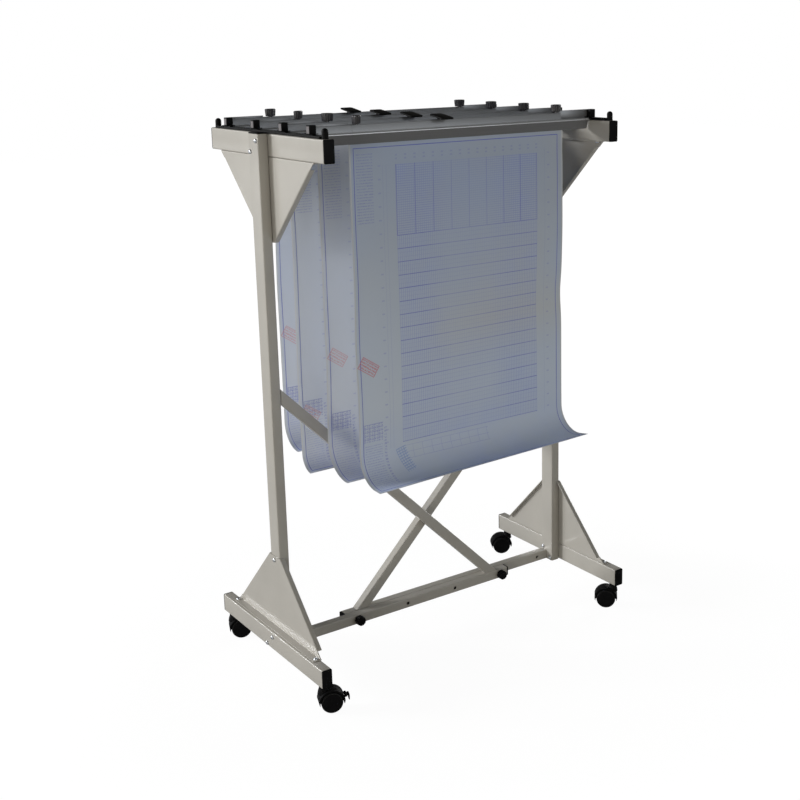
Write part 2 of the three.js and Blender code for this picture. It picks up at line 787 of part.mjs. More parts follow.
addEndUnit({ end: "left", bar: "front", near: "front", far: "rear" }, false);
addEndUnit({ end: "right", bar: "rear", near: "rear", far: "front" }, true);
addWidthKnob("left_width_knob", -1);
addWidthKnob("right_width_knob", 1);
addCaster("front_left", -1, -1, frontLeftSwivel, true);
addCaster("rear_left", -1, 1, rearLeftSwivel, false);
addCaster("front_right", 1, -1, frontRightSwivel, false);
addCaster("rear_right", 1, 1, rearRightSwivel, false);
clampPlaces.forEach((_, index) => addClamp(index));

export default rack;
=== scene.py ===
import math
import bpy
import bmesh
import numpy as np
from mathutils import Matrix, Vector


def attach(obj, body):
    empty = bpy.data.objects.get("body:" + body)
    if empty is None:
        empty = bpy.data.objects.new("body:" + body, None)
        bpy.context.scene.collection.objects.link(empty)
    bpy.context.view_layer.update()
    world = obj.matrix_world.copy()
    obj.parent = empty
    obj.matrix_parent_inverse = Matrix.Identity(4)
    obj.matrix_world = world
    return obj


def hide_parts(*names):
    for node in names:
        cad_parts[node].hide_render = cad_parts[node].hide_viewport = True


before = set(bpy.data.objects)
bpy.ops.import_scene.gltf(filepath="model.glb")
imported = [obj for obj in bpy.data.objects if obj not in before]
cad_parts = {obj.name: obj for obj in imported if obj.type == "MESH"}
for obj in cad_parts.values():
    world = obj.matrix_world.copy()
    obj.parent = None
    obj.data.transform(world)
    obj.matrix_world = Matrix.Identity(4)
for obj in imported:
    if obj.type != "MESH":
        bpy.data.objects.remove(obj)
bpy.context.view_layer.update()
scene = bpy.context.scene
mm = 0.001


def metres(sizes):
    # sizes in millimetres, one or a nest of them, in metres
    if isinstance(sizes, dict):
        return {name: metres(value) for name, value in sizes.items()}
    if isinstance(sizes, (list, tuple)):
        return [metres(value) for value in sizes]
    return sizes * mm


# camera at the photo's angle, for a square frame of 800 x 800
cameraSet = {
    "place": (-1.6528465, -2.4930086, 1.4754029),
    "right": (0.807189, -0.5901285, -0.0139366),
    "forward": (0.5718125, 0.7875615, -0.2297332),
    "lens": 55.8607,
    "shift": (-0.0903129, -0.0836919),
}


def addCamera(c):
    right, forward = Vector(c["right"]).normalized(), Vector(c["forward"]).normalized()
    up = right.cross(forward)
    turn = Matrix((right, up, -forward)).transposed().to_4x4()
    data = bpy.data.cameras.new("photoCamera")
    data.sensor_width, data.lens = 36, c["lens"]
    data.shift_x, data.shift_y = c["shift"]
    data.clip_end = 50
    camera = bpy.data.objects.new("photoCamera", data)
    camera.matrix_world = Matrix.Translation(c["place"]) @ turn
    scene.collection.objects.link(camera)
    scene.camera = camera


addCamera(cameraSet)
print("camera set")


# node trees, with arithmetic on sockets
class Value:
    def __init__(self, maker, socket):
        self.maker, self.socket = maker, socket

    def calc(self, operation, *others):
        return self.maker.calc(operation, self, *others)

    def __add__(self, other):
        return self.calc("ADD", other)

    def __sub__(self, other):
        return self.calc("SUBTRACT", other)

    def __rsub__(self, other):
        return self.maker.calc("SUBTRACT", other, self)

    def __mul__(self, other):
        return self.calc("MULTIPLY", other)

    def __truediv__(self, other):
        return self.calc("DIVIDE", other)

    def __gt__(self, other):
        return self.calc("GREATER_THAN", other)

    def __lt__(self, other):
        return self.calc("LESS_THAN", other)

    def __mod__(self, other):
        return self.calc("FLOORED_MODULO", other)

    __radd__ = __add__
    __rmul__ = __mul__


class Maker:
    def __init__(self, tree):
        self.tree = tree

    def node(self, kind, settings=None, sockets=None, out=0):
        made = self.tree.nodes.new(kind)
        for name, value in (settings or {}).items():
            setattr(made, name, value)
        for name, value in (sockets or {}).items():
            if isinstance(value, Value):
                self.tree.links.new(value.socket, made.inputs[name])
            else:
                made.inputs[name].default_value = value
        return Value(self, made.outputs[out])

    def calc(self, operation, *values):
        return self.node("ShaderNodeMath", {"operation": operation}, dict(enumerate(values)))

    def clamp01(self, value):
        return self.node("ShaderNodeClamp", None, {0: value})

    def mix(self, factor, low, high):
        return self.node("ShaderNodeMix", {"data_type": "RGBA"}, {0: factor, 6: low, 7: high}, 2)

    def coords(self, name="Object", scale=None):
        spot = self.node("ShaderNodeTexCoord", None, None, name)
        if scale is None:
            return spot
        return self.node("ShaderNodeMapping", None, {"Vector": spot, "Scale": scale})

    def noise(self, spot, scale, detail=2.0, rough=0.5):
        values = {"Vector": spot, "Scale": scale, "Detail": detail, "Roughness": rough}
        return self.node("ShaderNodeTexNoise", None, values)

    def bump(self, height, strength, distance):
        values = {"Strength": strength, "Distance": distance, "Height": height}
        return self.node("ShaderNodeBump", None, values)


def newFinish(name):
    material = bpy.data.materials.new(name)
    material.use_nodes = True
    shader = material.node_tree.nodes["Principled BSDF"]
    return material, Maker(material.node_tree), shader


def feed(maker, shader, **values):
    for name, value in values.items():
        socket = shader.inputs[name.replace("_", " ")]
        if isinstance(value, Value):
            maker.tree.links.new(value.socket, socket)
        else:
            socket.default_value = value


# beige-grey powder coat: fine orange peel, faint clouding, soft handling marks
powderCoatSet = {
    "light": (0.475, 0.452, 0.405, 1), "dark": (0.435, 0.413, 0.37, 1), "fleck": (0.30, 0.29, 0.26, 1),
    "cloud": 7, "marks": 26, "peel": 1100, "speck": 2600, "coat": 0.7, "coatRough": 0.14,
}


def makePowderCoat(p):
    material, m, shader = newFinish("powderCoat")
    spot = m.coords()
    cloud = m.noise(spot, p["cloud"], 3)
    marks = m.noise(m.coords("Object", (1, 1, 0.3)), p["marks"], 5, 0.7)
    scuff = m.clamp01((marks - 0.62) * 6)
    peel = m.noise(spot, p["peel"], 1.5)
    speck = m.noise(spot, p["speck"], 1)
    color = m.mix(m.clamp01((cloud - 0.35) * 2.6), p["dark"], p["light"])
    color = m.mix(m.clamp01((speck - 0.66) * 4) * 0.35, color, p["fleck"])
    feed(m, shader, Base_Color=color, Roughness=0.36 + cloud * 0.08 + scuff * 0.10)
    feed(m, shader, Normal=m.bump(peel, 0.12, 0.0005), Coat_Weight=p["coat"], Coat_Roughness=p["coatRough"])
    return material


# moulded black plastic: satin, with a fine spark-eroded grain
blackPlasticSet = {
    # fresh and worn tone, scale of the grain, roughness, shine
    "blackPlastic": ((0.0042, 0.0042, 0.0047, 1), (0.0088, 0.0088, 0.0097, 1), 1500, 0.40, 0.08),
    "knobPlastic": ((0.019, 0.018, 0.0235, 1), (0.034, 0.032, 0.041, 1), 900, 0.20, 0.65),
}


def makeBlackPlastic(p, name):
    fresh, worn, grainScale, rough, shine = p[name]
    material, m, shader = newFinish(name)
    spot = m.coords()
    grain = m.noise(spot, grainScale, 2)
    patch = m.noise(spot, 40, 3)
    color = m.mix(m.clamp01((patch - 0.45) * 2.5), fresh, worn)
    feed(m, shader, Base_Color=color, Roughness=rough + patch * 0.14 + grain * 0.06)
    feed(m, shader, Specular_IOR_Level=shine, Normal=m.bump(grain, 0.14, 0.0004))
    return material


# anodised extrusion, with lines drawn along the clamp
clampMetalSet = {
    "lines": (5, 1500, 1500),
    # light and dark tone, share of metal, roughness
    # painted shade: the front wall and the foot bridge under the trough are painted darker than the web and
    # the wedge bar, though all are the same aluminium
    "clampMetalShaded": ((0.225, 0.225, 0.23, 1), (0.175, 0.175, 0.178, 1), 0.45, 0.36),
    "barMetal": ((0.315, 0.32, 0.33, 1), (0.248, 0.252, 0.26, 1), 0.55, 0.33),
    "webMetal": ((0.31, 0.313, 0.325, 1), (0.25, 0.253, 0.263, 1), 0.55, 0.36),
    # painted highlight: the nose of the hanger's front wall is painted far lighter than the rest of the
    # extrusion
    "clampRidgeHighlight": ((0.74, 0.75, 0.77, 1), (0.62, 0.63, 0.65, 1), 0.6, 0.30),
}


def makeClampMetal(p, name):
    light, dark, metal, rough = p[name]
    material, m, shader = newFinish(name)
    lines = m.noise(m.coords("Object", p["lines"]), 1, 3, 0.6)
    haze = m.noise(m.coords("Object", (1, 8, 8)), 5, 3)
    color = m.mix(m.clamp01(lines * 1.3 - 0.15), dark, light)
    feed(m, shader, Base_Color=color, Metallic=metal, Roughness=rough - 0.06 + lines * 0.10 + haze * 0.08)
    feed(m, shader, Normal=m.bump(lines, 0.10, 0.0003))
    return material


# zinc plate on the screws, a little blotched
zincSet = {"light": (0.84, 0.87, 0.92, 1), "dark": (0.56, 0.58, 0.61, 1)}


def makeZinc(p):
    material, m, shader = newFinish("zincScrew")
    spots = m.noise(m.coords(), 700, 3)
    color = m.mix(spots, p["dark"], p["light"])
    feed(m, shader, Base_Color=color, Metallic=1.0, Roughness=0.26 + spots * 0.2)
    return material


# hard wheel tread, a little greyer and duller than the mouldings
treadSet = {"clean": (0.0045, 0.0046, 0.005, 1), "dusty": (0.014, 0.014, 0.014, 1)}


def makeTread(p):
    material, m, shader = newFinish("wheelTread")
    dust = m.noise(m.coords(), 130, 4, 0.65)
    fine = m.noise(m.coords(), 1700, 2)
    color = m.mix(m.clamp01((dust - 0.5) * 2.2) * 0.6, p["clean"], p["dusty"])
    feed(m, shader, Base_Color=color, Roughness=0.46 + dust * 0.2, Specular_IOR_Level=0.22)
    feed(m, shader, Normal=m.bump(fine, 0.2, 0.0004))
    return material


# blank label card
cardSet = {"dark": (0.120, 0.108, 0.113, 1), "light": (0.150, 0.134, 0.140, 1)}


def makeCard(p):
    material, m, shader = newFinish("blankCard")
    fibre = m.noise(m.coords(), 900, 3)
    feed(m, shader, Base_Color=m.mix(fibre, p["dark"], p["light"]), Roughness=0.55 + fibre * 0.1)
    return material


# plan paper: a sheet ruled in blue ink. The UV map and all places are in metres from the top left corner
planPaperSet = {
    "cool": (0.455, 0.535, 0.69, 1), "warm": (0.505, 0.54, 0.585, 1), "edge": (0.70, 0.685, 0.64, 1),
    "footBlue": (0.58, 0.68, 1.0, 1), "chartBlue": (0.46, 0.59, 1.0, 1), "yellowed": (0.70, 0.665, 0.56, 1),
    "ink": (0.05, 0.07, 0.60, 1), "stamp": (0.66, 0.15, 0.19, 1), "wash": (0.25, 0.40, 0.75, 1),
    "through": (0.90, 0.90, 0.885, 1),
    # one value for each plan, from the front
    # painted light and shade: each plan is painted paler by a share that changes from the top down, for how
    # light and shade fall on the four sheets
    "paintedLightTone": ((0.79, 0.875, 1.0, 1),) + ((0.79, 0.83, 0.905, 1),) * 3,
    "paintedLightTop": (0.0, 0.85, 0.22, 0.20),
    "paintedLightGain": (0.62, -0.25, 0.42, 0.35),
    "thin": (0.12, 0.44, 0.44, 0.37),
    "stampAt": (0.518, 0.518, 0.685, 0.518),
    # the chart's left, right, top and foot, where its head ends, and the pitch of its rows
    "chart": (0.117, 0.5145, 0.072, 0.7105), "headEnd": 0.229, "rows": 0.0300,
    # how dark each kind of mark is printed
    "weights": {
        "border": 0.76, "columns": 0.68, "bars": 0.60, "fineAcross": 0.32, "fineDown": 0.26,
        "thinDown": 0.30, "thinAcross": 0.18, "ticks": 0.22, "tickLines": 0.2, "notes": 0.36,
        "scaleRow": 0.22, "table": 0.46, "tableFill": 0.5, "titleBlock": 0.42, "lines": 0.3, "footRow": 0.3,
    },
}


def makePlanPaper(p, index):
    name, offset = "planPaper" + str(index + 1), 3.1 * index
    material, m, shader = newFinish(name)
    uv = m.coords("UV")
    split = m.node("ShaderNodeSeparateXYZ", None, {0: uv})
    u, v = split, Value(m, split.socket.node.outputs[1])

    def span(value, low, high):
        return (value > low) * (value < high)

    def rect(u0, u1, v0, v1):
        return span(u, u0, u1) * span(v, v0, v1)

    def rules(value, pitch, width, start=0.0):
        return ((value - start) % pitch) < width

    def within(value, half):
        return value.calc("ABSOLUTE") < half

    def either(*marks):
        total = marks[0]
        for mark in marks[1:]:
            total = total.calc("MAXIMUM", mark)
        return total

    left, right, top, chartEnd = p["chart"]
    headEnd, rows = p["headEnd"], p["rows"]
    chart = rect(left, right, top, chartEnd)
    head = rect(left, right, top, headEnd)
    lower = chart * (v > headEnd)
    sides = m.clamp01(((u - 0.316).calc("ABSOLUTE") - 0.055) * 14)  # the chart's middle is printed fainter
    dashes = m.noise(m.coords("UV", (640, 230, 1)), 1, 2, 0.6) > 0.48
    tableArea = rect(0.013, 0.064, 0.651, 0.694)
    scaleArea = rect(left, 0.5165, 0.050, 0.066)
    footArea = rect(left, 0.36, 0.720, 0.752)
    tickColumns = either(rect(0.071, 0.078, top, 0.72), rect(0.546, 0.553, top, 0.72))
    marks = {
        "border": either(
            rect(0.010, 0.5785, 0.0315, 0.0333), rect(0.010, 0.5785, 0.829, 0.8308),
            rect(0.010, 0.0118, 0.0315, 0.8302), rect(0.5767, 0.5785, 0.0315, 0.8302),
        ),
        "columns": head * rules(u, 0.0495, 0.0014, left) * (0.55 + sides * 0.45),
        "bars": lower * rules(v, rows, 0.0017, headEnd) * (0.62 + sides * 0.38),
        "fineAcross": head * rules(v, 0.0052, 0.0013, 0.073) * (0.5 + sides * 0.5),
        "fineDown": head * rules(u, 0.0055, 0.0010, 0.1185) * (0.4 + sides * 0.6),
        "thinDown": lower * rules(u, 0.0052, 0.0010, 0.1175) * (0.4 + sides * 0.6),
        "thinAcross": lower * rules(v, 0.0100, 0.0008, headEnd),
        "ticks": tickColumns * rules(v, rows, 0.0034, 0.071),
        "tickLines": either(
            rect(0.083, 0.0838, top, 0.72), rect(0.092, 0.0928, top, 0.72), rect(0.538, 0.5388, 0.06, 0.72),
        ),
        "notes": rect(0.016, 0.058, 0.045, 0.20) * rules(v, 0.0062, 0.0022, 0.045) * dashes,
        "scaleRow": scaleArea * rules(u, 0.0247, 0.006, 0.115) * rules(v, 0.008, 0.0035, 0.05),
        "table": tableArea * either(rules(v, 0.0086, 0.0011, 0.651), rules(u, 0.0128, 0.0011, 0.013)),
        "tableFill": tableArea * rules(v, 0.0043, 0.0022, 0.652) * rules(u, 0.0064, 0.0040, 0.014) * dashes,
        "titleBlock": rect(0.067, 0.0735, 0.664, 0.81) * rules(v, 0.0075, 0.0042, 0.664) * dashes,
        "lines": rect(0.015, 0.062, 0.702, 0.820) * rules(v, 0.0058, 0.0021, 0.702) * dashes,
        "footRow": footArea * either(rules(u, 0.0265, 0.0009, left), rules(v, 0.0155, 0.0009, 0.720)),
    }
    # a tilted frame with dashed rows, and a small tinted key
    su, sv = u - 0.031, v - p["stampAt"][index]
    a, b = su * 0.83 + sv * 0.56, sv * 0.83 - su * 0.56
    stampIn = within(a, 0.0245) * within(b, 0.0145)
    stampCore = within(a, 0.0229) * within(b, 0.0129)
    stamp = either(stampIn * (1 - stampCore), stampCore * rules(b, 0.0062, 0.0036, 0.0006) * dashes)
    ku, kv = u - 0.118, v - 0.752
    ka, kb = ku * 0.97 - kv * 0.24, kv * 0.97 + ku * 0.24
    keyRules = either(rules(ka, 0.0068, 0.0013), rules(kb, 0.0062, 0.0017))
    key = within(ka, 0.0135) * within(kb, 0.031) * keyRules

    fadeSpot = m.node("ShaderNodeMapping", None, {"Vector": uv, "Location": (offset, offset * 0.7, 0)})
    patch = m.noise(fadeSpot, 9, 3, 0.55)
    cloud = m.noise(fadeSpot, 2.3, 2)
    printed = either(*(mark * p["weights"][label] for label, mark in marks.items()))
    ink = m.clamp01(printed * (0.6 + patch * 0.75))
    color = m.mix(m.clamp01((cloud - 0.38) * 3.2), p["cool"], p["warm"])
    # painted light: a paler tone laid over the sheet, stronger or weaker from the top down for each plan
    paintedLightShare = m.clamp01((v - 0.08) * 1.9) * p["paintedLightGain"][index] + p["paintedLightTop"][index]
    color = m.mix(m.clamp01(paintedLightShare), color, p["paintedLightTone"][index])
    footTint = m.clamp01((v - 0.62) * 5) * m.clamp01((patch - 0.30) * 3) * 0.55
    color = m.mix(footTint, color, p["footBlue"])
    chartTint = chart * (0.12 + m.clamp01((patch - 0.42) * 2.2) * 0.22) * (0.6 + sides * 0.4)
    color = m.mix(chartTint, color, p["chartBlue"])
    band = m.clamp01(1 - (v - 0.45).calc("ABSOLUTE") * 9) * m.clamp01((u - 0.16) * 5) * 0.32
    color = m.mix(band, color, p["yellowed"])
    rim = 1 - rect(0.004, 0.590, 0.0, 0.838)
    color = m.mix(rim * 0.55, color, p["edge"])
    color = m.mix(ink, color, p["ink"])
    color = m.mix(stamp * 0.8, color, p["stamp"])
    color = m.mix(key * 0.8, color, p["wash"])
    fibre = m.noise(m.coords(), 850, 3, 0.6)
    feed(m, shader, Base_Color=color, Roughness=0.50 + fibre * 0.12, Specular_IOR_Level=0.3)
    feed(m, shader, Normal=m.bump(fibre, 0.05, 0.0003))
    through = m.node("ShaderNodeBsdfTranslucent", None, {"Color": p["through"]})
    share = p["thin"][index] * (1 - ink * 0.8)
    blend = m.node("ShaderNodeMixShader", None, {0: share, 1: Value(m, shader.outputs[0]), 2: through})
    m.tree.links.new(blend.socket, m.tree.nodes["Material Output"].inputs["Surface"])
    return material


powderCoat = makePowderCoat(powderCoatSet)
blackPlastic, knobPlastic = (
    makeBlackPlastic(blackPlasticSet, name) for name in ("blackPlastic", "knobPlastic")
)
clampMetalShaded, barMetal, webMetal, ridgeHighlightMetal = (
    makeClampMetal(clampMetalSet, name) for name in ("clampMetalShaded", "barMetal", "webMetal", "clampRidgeHighlight")
)
zinc = makeZinc(zincSet)
wheelTread = makeTread(treadSet)
blankCard = makeCard(cardSet)
planPapers = [makePlanPaper(planPaperSet, i) for i in range(4)]
print("finishes made")


# mesh helpers
def meshOf(points, faces):
    mesh = bpy.data.meshes.new("piece")
    mesh.from_pydata([tuple(p) for p in points], [], faces)
    mesh.update()
    return mesh


def merged(parts, angle=34):
    # several meshes as one, each with the number of its finish
    whole = bmesh.new()
    for mesh, finish in parts:
        first = len(whole.faces)
        whole.from_mesh(mesh)
        whole.faces.ensure_lookup_table()
        for face in whole.faces[first:]:
            face.material_index = finish
            face.smooth = True
    out = bpy.data.meshes.new("piece")
    whole.to_mesh(out)
    whole.free()
    out.set_sharp_from_angle(angle=math.radians(angle))
    return out


def moved(mesh, matrix):
    mesh.transform(matrix)
    return mesh


def placed(parts, matrix):
    return [(moved(mesh, matrix), finish) for mesh, finish in parts]


def at(x, y, z):
    return Matrix.Translation((x, y, z))


def about(axis, degrees):
    return Matrix.Rotation(math.radians(degrees), 4, axis)


def facedOut(mesh):
    work = bmesh.new()
    work.from_mesh(mesh)
    bmesh.ops.remove_doubles(work, verts=work.verts, dist=1e-7)
    bmesh.ops.recalc_face_normals(work, faces=work.faces)
    work.to_mesh(mesh)
    work.free()
    return mesh


def eased(mesh, width, steps=3, angle=30, keep=None):
    # rounds every edge sharper than angle; keep is a test on an edge's two ends
    work = bmesh.new()
    work.from_mesh(mesh)
    bmesh.ops.remove_doubles(work, verts=work.verts, dist=1e-7)
    limit = math.radians(angle)
    edges = [e for e in work.edges if len(e.link_faces) == 2 and e.calc_face_angle(0) > limit]
    if keep:
        edges = [e for e in edges if keep(e.verts[0].co, e.verts[1].co)]
    bmesh.ops.bevel(
        work, geom=edges, offset=width, segments=steps, profile=0.5, affect="EDGES", clamp_overlap=True
    )
    work.to_mesh(mesh)
    work.free()
    return mesh


def addPiece(name, parts, finishes, body, slotName, *replaced, angle=34):
    piece = bpy.data.objects.new(name, merged(parts, angle))
    for finish in finishes:
        piece.data.materials.append(finish)
    scene.collection.objects.link(piece)
    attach(piece, body)
    if replaced:
        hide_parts(*replaced)
    return piece


def roundRect(width, depth, radius, steps=6):
    points = []
    for k, (sx, sy) in enumerate(((1, 1), (-1, 1), (-1, -1), (1, -1))):
        x, y = sx * (width / 2 - radius), sy * (depth / 2 - radius)
        for i in range(steps + 1):
            a = math.pi / 2 * (k + i / steps)
            points.append((x + radius * math.cos(a), y + radius * math.sin(a)))
    return points


def filleted(points, radii, steps=5):
    # a closed outline with rounded corners, a radius for each
    out = []
    count = len(points)
    for i, radius in enumerate(radii):
        p, before, after = (Vector(points[j % count]) for j in (i, i - 1, i + 1))
        a, b = before - p, after - p
        if radius <= 0:
            out.append(tuple(p))
            continue
        half = a.angle(b) / 2
        reach = min(radius / math.tan(half), 0.48 * a.length, 0.48 * b.length)
        bend = reach * math.tan(half)
        center = p + (a.normalized() + b.normalized()).normalized() * (bend / math.sin(half))
        start, end = p + a.normalized() * reach - center, p + b.normalized() * reach - center
        sweep = start.angle_signed(end)
        for k in range(steps + 1):
            c, s = math.cos(-sweep * k / steps), math.sin(-sweep * k / steps)
            out.append((center.x + c * start.x - s * start.y, center.y + s * start.x + c * start.y))
    return out


axisFrames = {
    "x": Matrix(((0, 0, 1, 0), (1, 0, 0, 0), (0, 1, 0, 0), (0, 0, 0, 1))),  # outline in y, z
    "y": Matrix(((1, 0, 0, 0), (0, 0, -1, 0), (0, 1, 0, 0), (0, 0, 0, 1))),  # outline in x, z
    "z": Matrix.Identity(4),  # outline in x, y
}


def prism(outline, low, high, axis, soft=0.0, steps=2):
    count = len(outline)
    if axis == "y":
        low, high = -high, -low
    points = [(x, y, low) for x, y in outline] + [(x, y, high) for x, y in outline]
    faces = [[(i + 1) % count, i, i + count, (i + 1) % count + count][::-1] for i in range(count)]
    faces += [list(range(count))[::-1], list(range(count, 2 * count))]
    mesh = facedOut(meshOf(points, faces))
    if soft:
        eased(mesh, soft, steps, 50, lambda a, b: abs(a.z - b.z) < 1e-9)
    return moved(mesh, axisFrames[axis])


def tubeBar(width, depth, wall, corner, low, high, axis):
    outer = roundRect(width, depth, corner)
    inner = roundRect(width - 2 * wall, depth - 2 * wall, max(corner - wall, 0.4 * mm))
    count = len(outer)
    if axis == "y":
        low, high = -high, -low
    points = []
    for ring, z in ((outer, low), (outer, high), (inner, high), (inner, low)):
        points += [(x, y, z) for x, y in ring]
    faces = []
    for k in range(4):
        for i in range(count):
            j = (i + 1) % count
            faces.append([k * count + i, k * count + j, (k + 1) % 4 * count + j, (k + 1) % 4 * count + i])
    return moved(facedOut(meshOf(points, faces)), axisFrames[axis])


def turned(profile, steps=48):
    # profile of (radius, height) points, turned about z; a radius of 0 makes a pole
    points, rings, faces = [], [], []
    for r, z in profile:
        if r < 1e-9:
            rings.append([len(points)])
            points.append((0, 0, z))
        else:
            rings.append(list(range(len(points), len(points) + steps)))
            angles = [2 * math.pi * i / steps for i in range(steps)]
            points += [(r * math.cos(a), r * math.sin(a), z) for a in angles]
    for low, high in zip(rings, rings[1:]):
        for i in range(steps):
            j = i + 1
            corners = [low[i % len(low)], low[j % len(low)], high[j % len(high)], high[i % len(high)]]
            face = list(dict.fromkeys(corners))
            if len(face) > 2:
                faces.append(face)
    if len(rings[0]) > 1:
        faces.append(rings[0][::-1])
    if len(rings[-1]) > 1:
        faces.append(rings[-1])
    return facedOut(meshOf(points, faces))


def cutBy(mesh, tools):
    # takes the tools' solids out of a mesh
    base = bpy.data.objects.new("cutBase", mesh)
    scene.collection.objects.link(base)
    helpers = []
    for tool in tools:
        helper = bpy.data.objects.new("cutTool", tool)
        scene.collection.objects.link(helper)
        helpers.append(helper)
        step = base.modifiers.new("cut", "BOOLEAN")
        step.object, step.operation, step.solver = helper, "DIFFERENCE", "EXACT"
    bpy.context.view_layer.update()
    out = bpy.data.meshes.new_from_object(base.evaluated_get(bpy.context.evaluated_depsgraph_get()))
    for o in [base, *helpers]:
        bpy.data.objects.remove(o)
    return out


def boxMesh(x0, x1, y0, y1, z0, z1, soft=0.0, steps=2):
    mesh = prism([(x0, y0), (x1, y0), (x1, y1), (x0, y1)], z0, z1, "z")
    return eased(mesh, soft, steps) if soft else mesh


def rod(radius, low, high, axis="z", steps=32):
    mesh = turned([(radius, low), (radius, high)], steps)
    return moved(mesh, about("X", -90)) if axis == "y" else mesh


# Geometry Nodes: trees with named inputs, turned into plain meshes
def newTree(name, inputs):
    tree = bpy.data.node_groups.new(name, "GeometryNodeTree")
    tree.interface.new_socket("Geometry", in_out="OUTPUT", socket_type="NodeSocketGeometry")
    tree.interface.new_socket("Geometry", in_out="INPUT", socket_type="NodeSocketGeometry")
    for label, kind in inputs.items():
        tree.interface.new_socket(label, in_out="INPUT", socket_type="NodeSocket" + kind)
    maker = Maker(tree)
    source = tree.nodes.new("NodeGroupInput")
    return tree, maker, {s.name: Value(maker, s) for s in source.outputs if s.name}


def closeTree(maker, geometry, material):
    real = maker.node("GeometryNodeRealizeInstances", None, {0: geometry})
    painted = maker.node("GeometryNodeSetMaterial", None, {"Geometry": real, "Material": material})
    end = maker.tree.nodes.new("NodeGroupOutput")
    maker.tree.links.new(painted.socket, end.inputs[0])


def grown(tree, source=None, **inputs):
    holder = bpy.data.objects.new("holder", source or bpy.data.meshes.new("seed"))
    scene.collection.objects.link(holder)
    step = holder.modifiers.new("grow", "NODES")
    step.node_group = tree
    ids = {i.name: i.identifier for i in tree.interface.items_tree if i.in_out == "INPUT"}
    for label, value in inputs.items():
        step[ids[label]] = value
    bpy.context.view_layer.update()
    mesh = bpy.data.meshes.new_from_object(holder.evaluated_get(bpy.context.evaluated_depsgraph_get()))
    bpy.data.objects.remove(holder)
    return mesh


# fluted grip: a cylinder drawn out of round, tapered, fluted and domed
def makeGripTree():
    names = ("Across", "Deep", "Height", "Flutes", "FluteDepth", "Taper", "Round", "Dome")
    tree, m, given = newTree("flutedGrip", {**{n: "Float" for n in names}, "Finish": "Material"})
    blank = m.node(
        "GeometryNodeMeshCylinder", {"fill_type": "TRIANGLE_FAN"},
        {"Vertices": 168, "Side Segments": 18, "Fill Segments": 5, "Radius": 1.0, "Depth": 1.0},
    )
    place = m.node("GeometryNodeInputPosition")
    split = m.node("ShaderNodeSeparateXYZ", None, {0: place})
    x, y, z = (Value(m, split.socket.node.outputs[i]) for i in range(3))
    rise = z + 0.5
    reach = (x * x + y * y).calc("SQRT")
    angle = y.calc("ARCTAN2", x)
    nearTop = ((rise - (1 - given["Round"])) / given["Round"]).calc("MAXIMUM", 0.0)
    nearFoot = ((0.07 - rise) / 0.07).calc("MAXIMUM", 0.0)
    width = 1 - (1 - given["Taper"]) * rise - nearTop * nearTop * 0.13 - nearFoot * nearFoot * 0.05
    dip = given["FluteDepth"] * (1 - (angle * given["Flutes"]).calc("COSINE")) * 0.5 * (1 - nearTop * 0.7)
    outX = (given["Across"] * 0.5 * width - dip) * reach * angle.calc("COSINE")
    outY = (given["Deep"] * 0.5 * width - dip) * reach * angle.calc("SINE")
    outZ = rise * given["Height"] + given["Dome"] * (1 - reach * reach) * (rise > 0.999)
    spot = m.node("ShaderNodeCombineXYZ", None, {0: outX, 1: outY, 2: outZ})
    shaped = m.node("GeometryNodeSetPosition", None, {"Geometry": blank, "Position": spot})
    closeTree(m, shaped, given["Finish"])
    return tree


# screw heads on points, each turned to the point's own facing
def makeScrewTree():
    tree, m, given = newTree("screwHeads", {"Head": "Object", "Finish": "Material"})
    head = m.node("GeometryNodeObjectInfo", None, {"Object": given["Head"]}, "Geometry")
    facing = m.node("GeometryNodeInputNamedAttribute", {"data_type": "FLOAT_VECTOR"}, {"Name": "facing"})
    aligned = m.node("FunctionNodeAlignRotationToVector", {"axis": "Z"}, {"Vector": facing})
    spin = m.node("FunctionNodeRandomValue", {"data_type": "FLOAT"}, {2: 0.0, 3: 1.5, "Seed": 4}, 1)
    roll = m.node("FunctionNodeAxisAngleToRotation", None, {"Axis": (0, 0, 1), "Angle": spin})
    local = {"rotation_space": "LOCAL"}
    turn = m.node("FunctionNodeRotateRotation", local, {"Rotation": aligned, "Rotate By": roll})
    sockets = {"Points": given["Geometry"], "Instance": head, "Rotation": turn}
    heads = m.node("GeometryNodeInstanceOnPoints", None, sockets)
    closeTree(m, heads, given["Finish"])
    return tree


gripTree, screwTree = makeGripTree(), makeScrewTree()
print("node trees made")


def gripMesh(s, finish):
    return grown(
        gripTree, Across=s["across"], Deep=s["deep"], Height=s["high"], Flutes=s["flutes"],
        FluteDepth=s["fluteDeep"], Taper=s["taper"], Round=s["round"], Dome=s["dome"], Finish=finish,
    )


# end frames. Each end unit is drawn as it stands at the left; the right one is turned half round
halfTurn = {"left": Matrix.Identity(4), "right": about("Z", 180)}
bars = {"left": "front", "right": "rear"}
tubeSet = metres({"wide": 25, "footHigh": 45, "armHigh": 50, "wall": 1.5, "corner": 3.2})
frameSet = metres({
    "footX": (-453, -428), "uprightX": (-427.7, -402.7), "armX": (-402.4, -377.4), "footZ": (66, 111),
    "armZ": (1233, 1283), "footHalf": 254, "armHalf": 268, "uprightDeep": 45, "flange": 3, "seam": 0.3,
})
baseSet = metres({
    "deep": 22, "high": 25, "corner": 2.4, "lap": 0.5, "reach": 245, "barZ": 78.5, "hole": 4.3,
    "pitch": 147.3, "drill": 20, "seat": 91.3, "braceTop": 704, "braceWidth": 25, "braceSpare": 60,
}) | {"holes": 5}
barY = -(baseSet["lap"] + baseSet["deep"] / 2)


def middle(pair):
    return (pair[0] + pair[1]) / 2


def addCoated(name, meshes, node):
    addPiece(name, [(mesh, 0) for mesh in meshes], [powderCoat], "rack", "powder_coat", node)


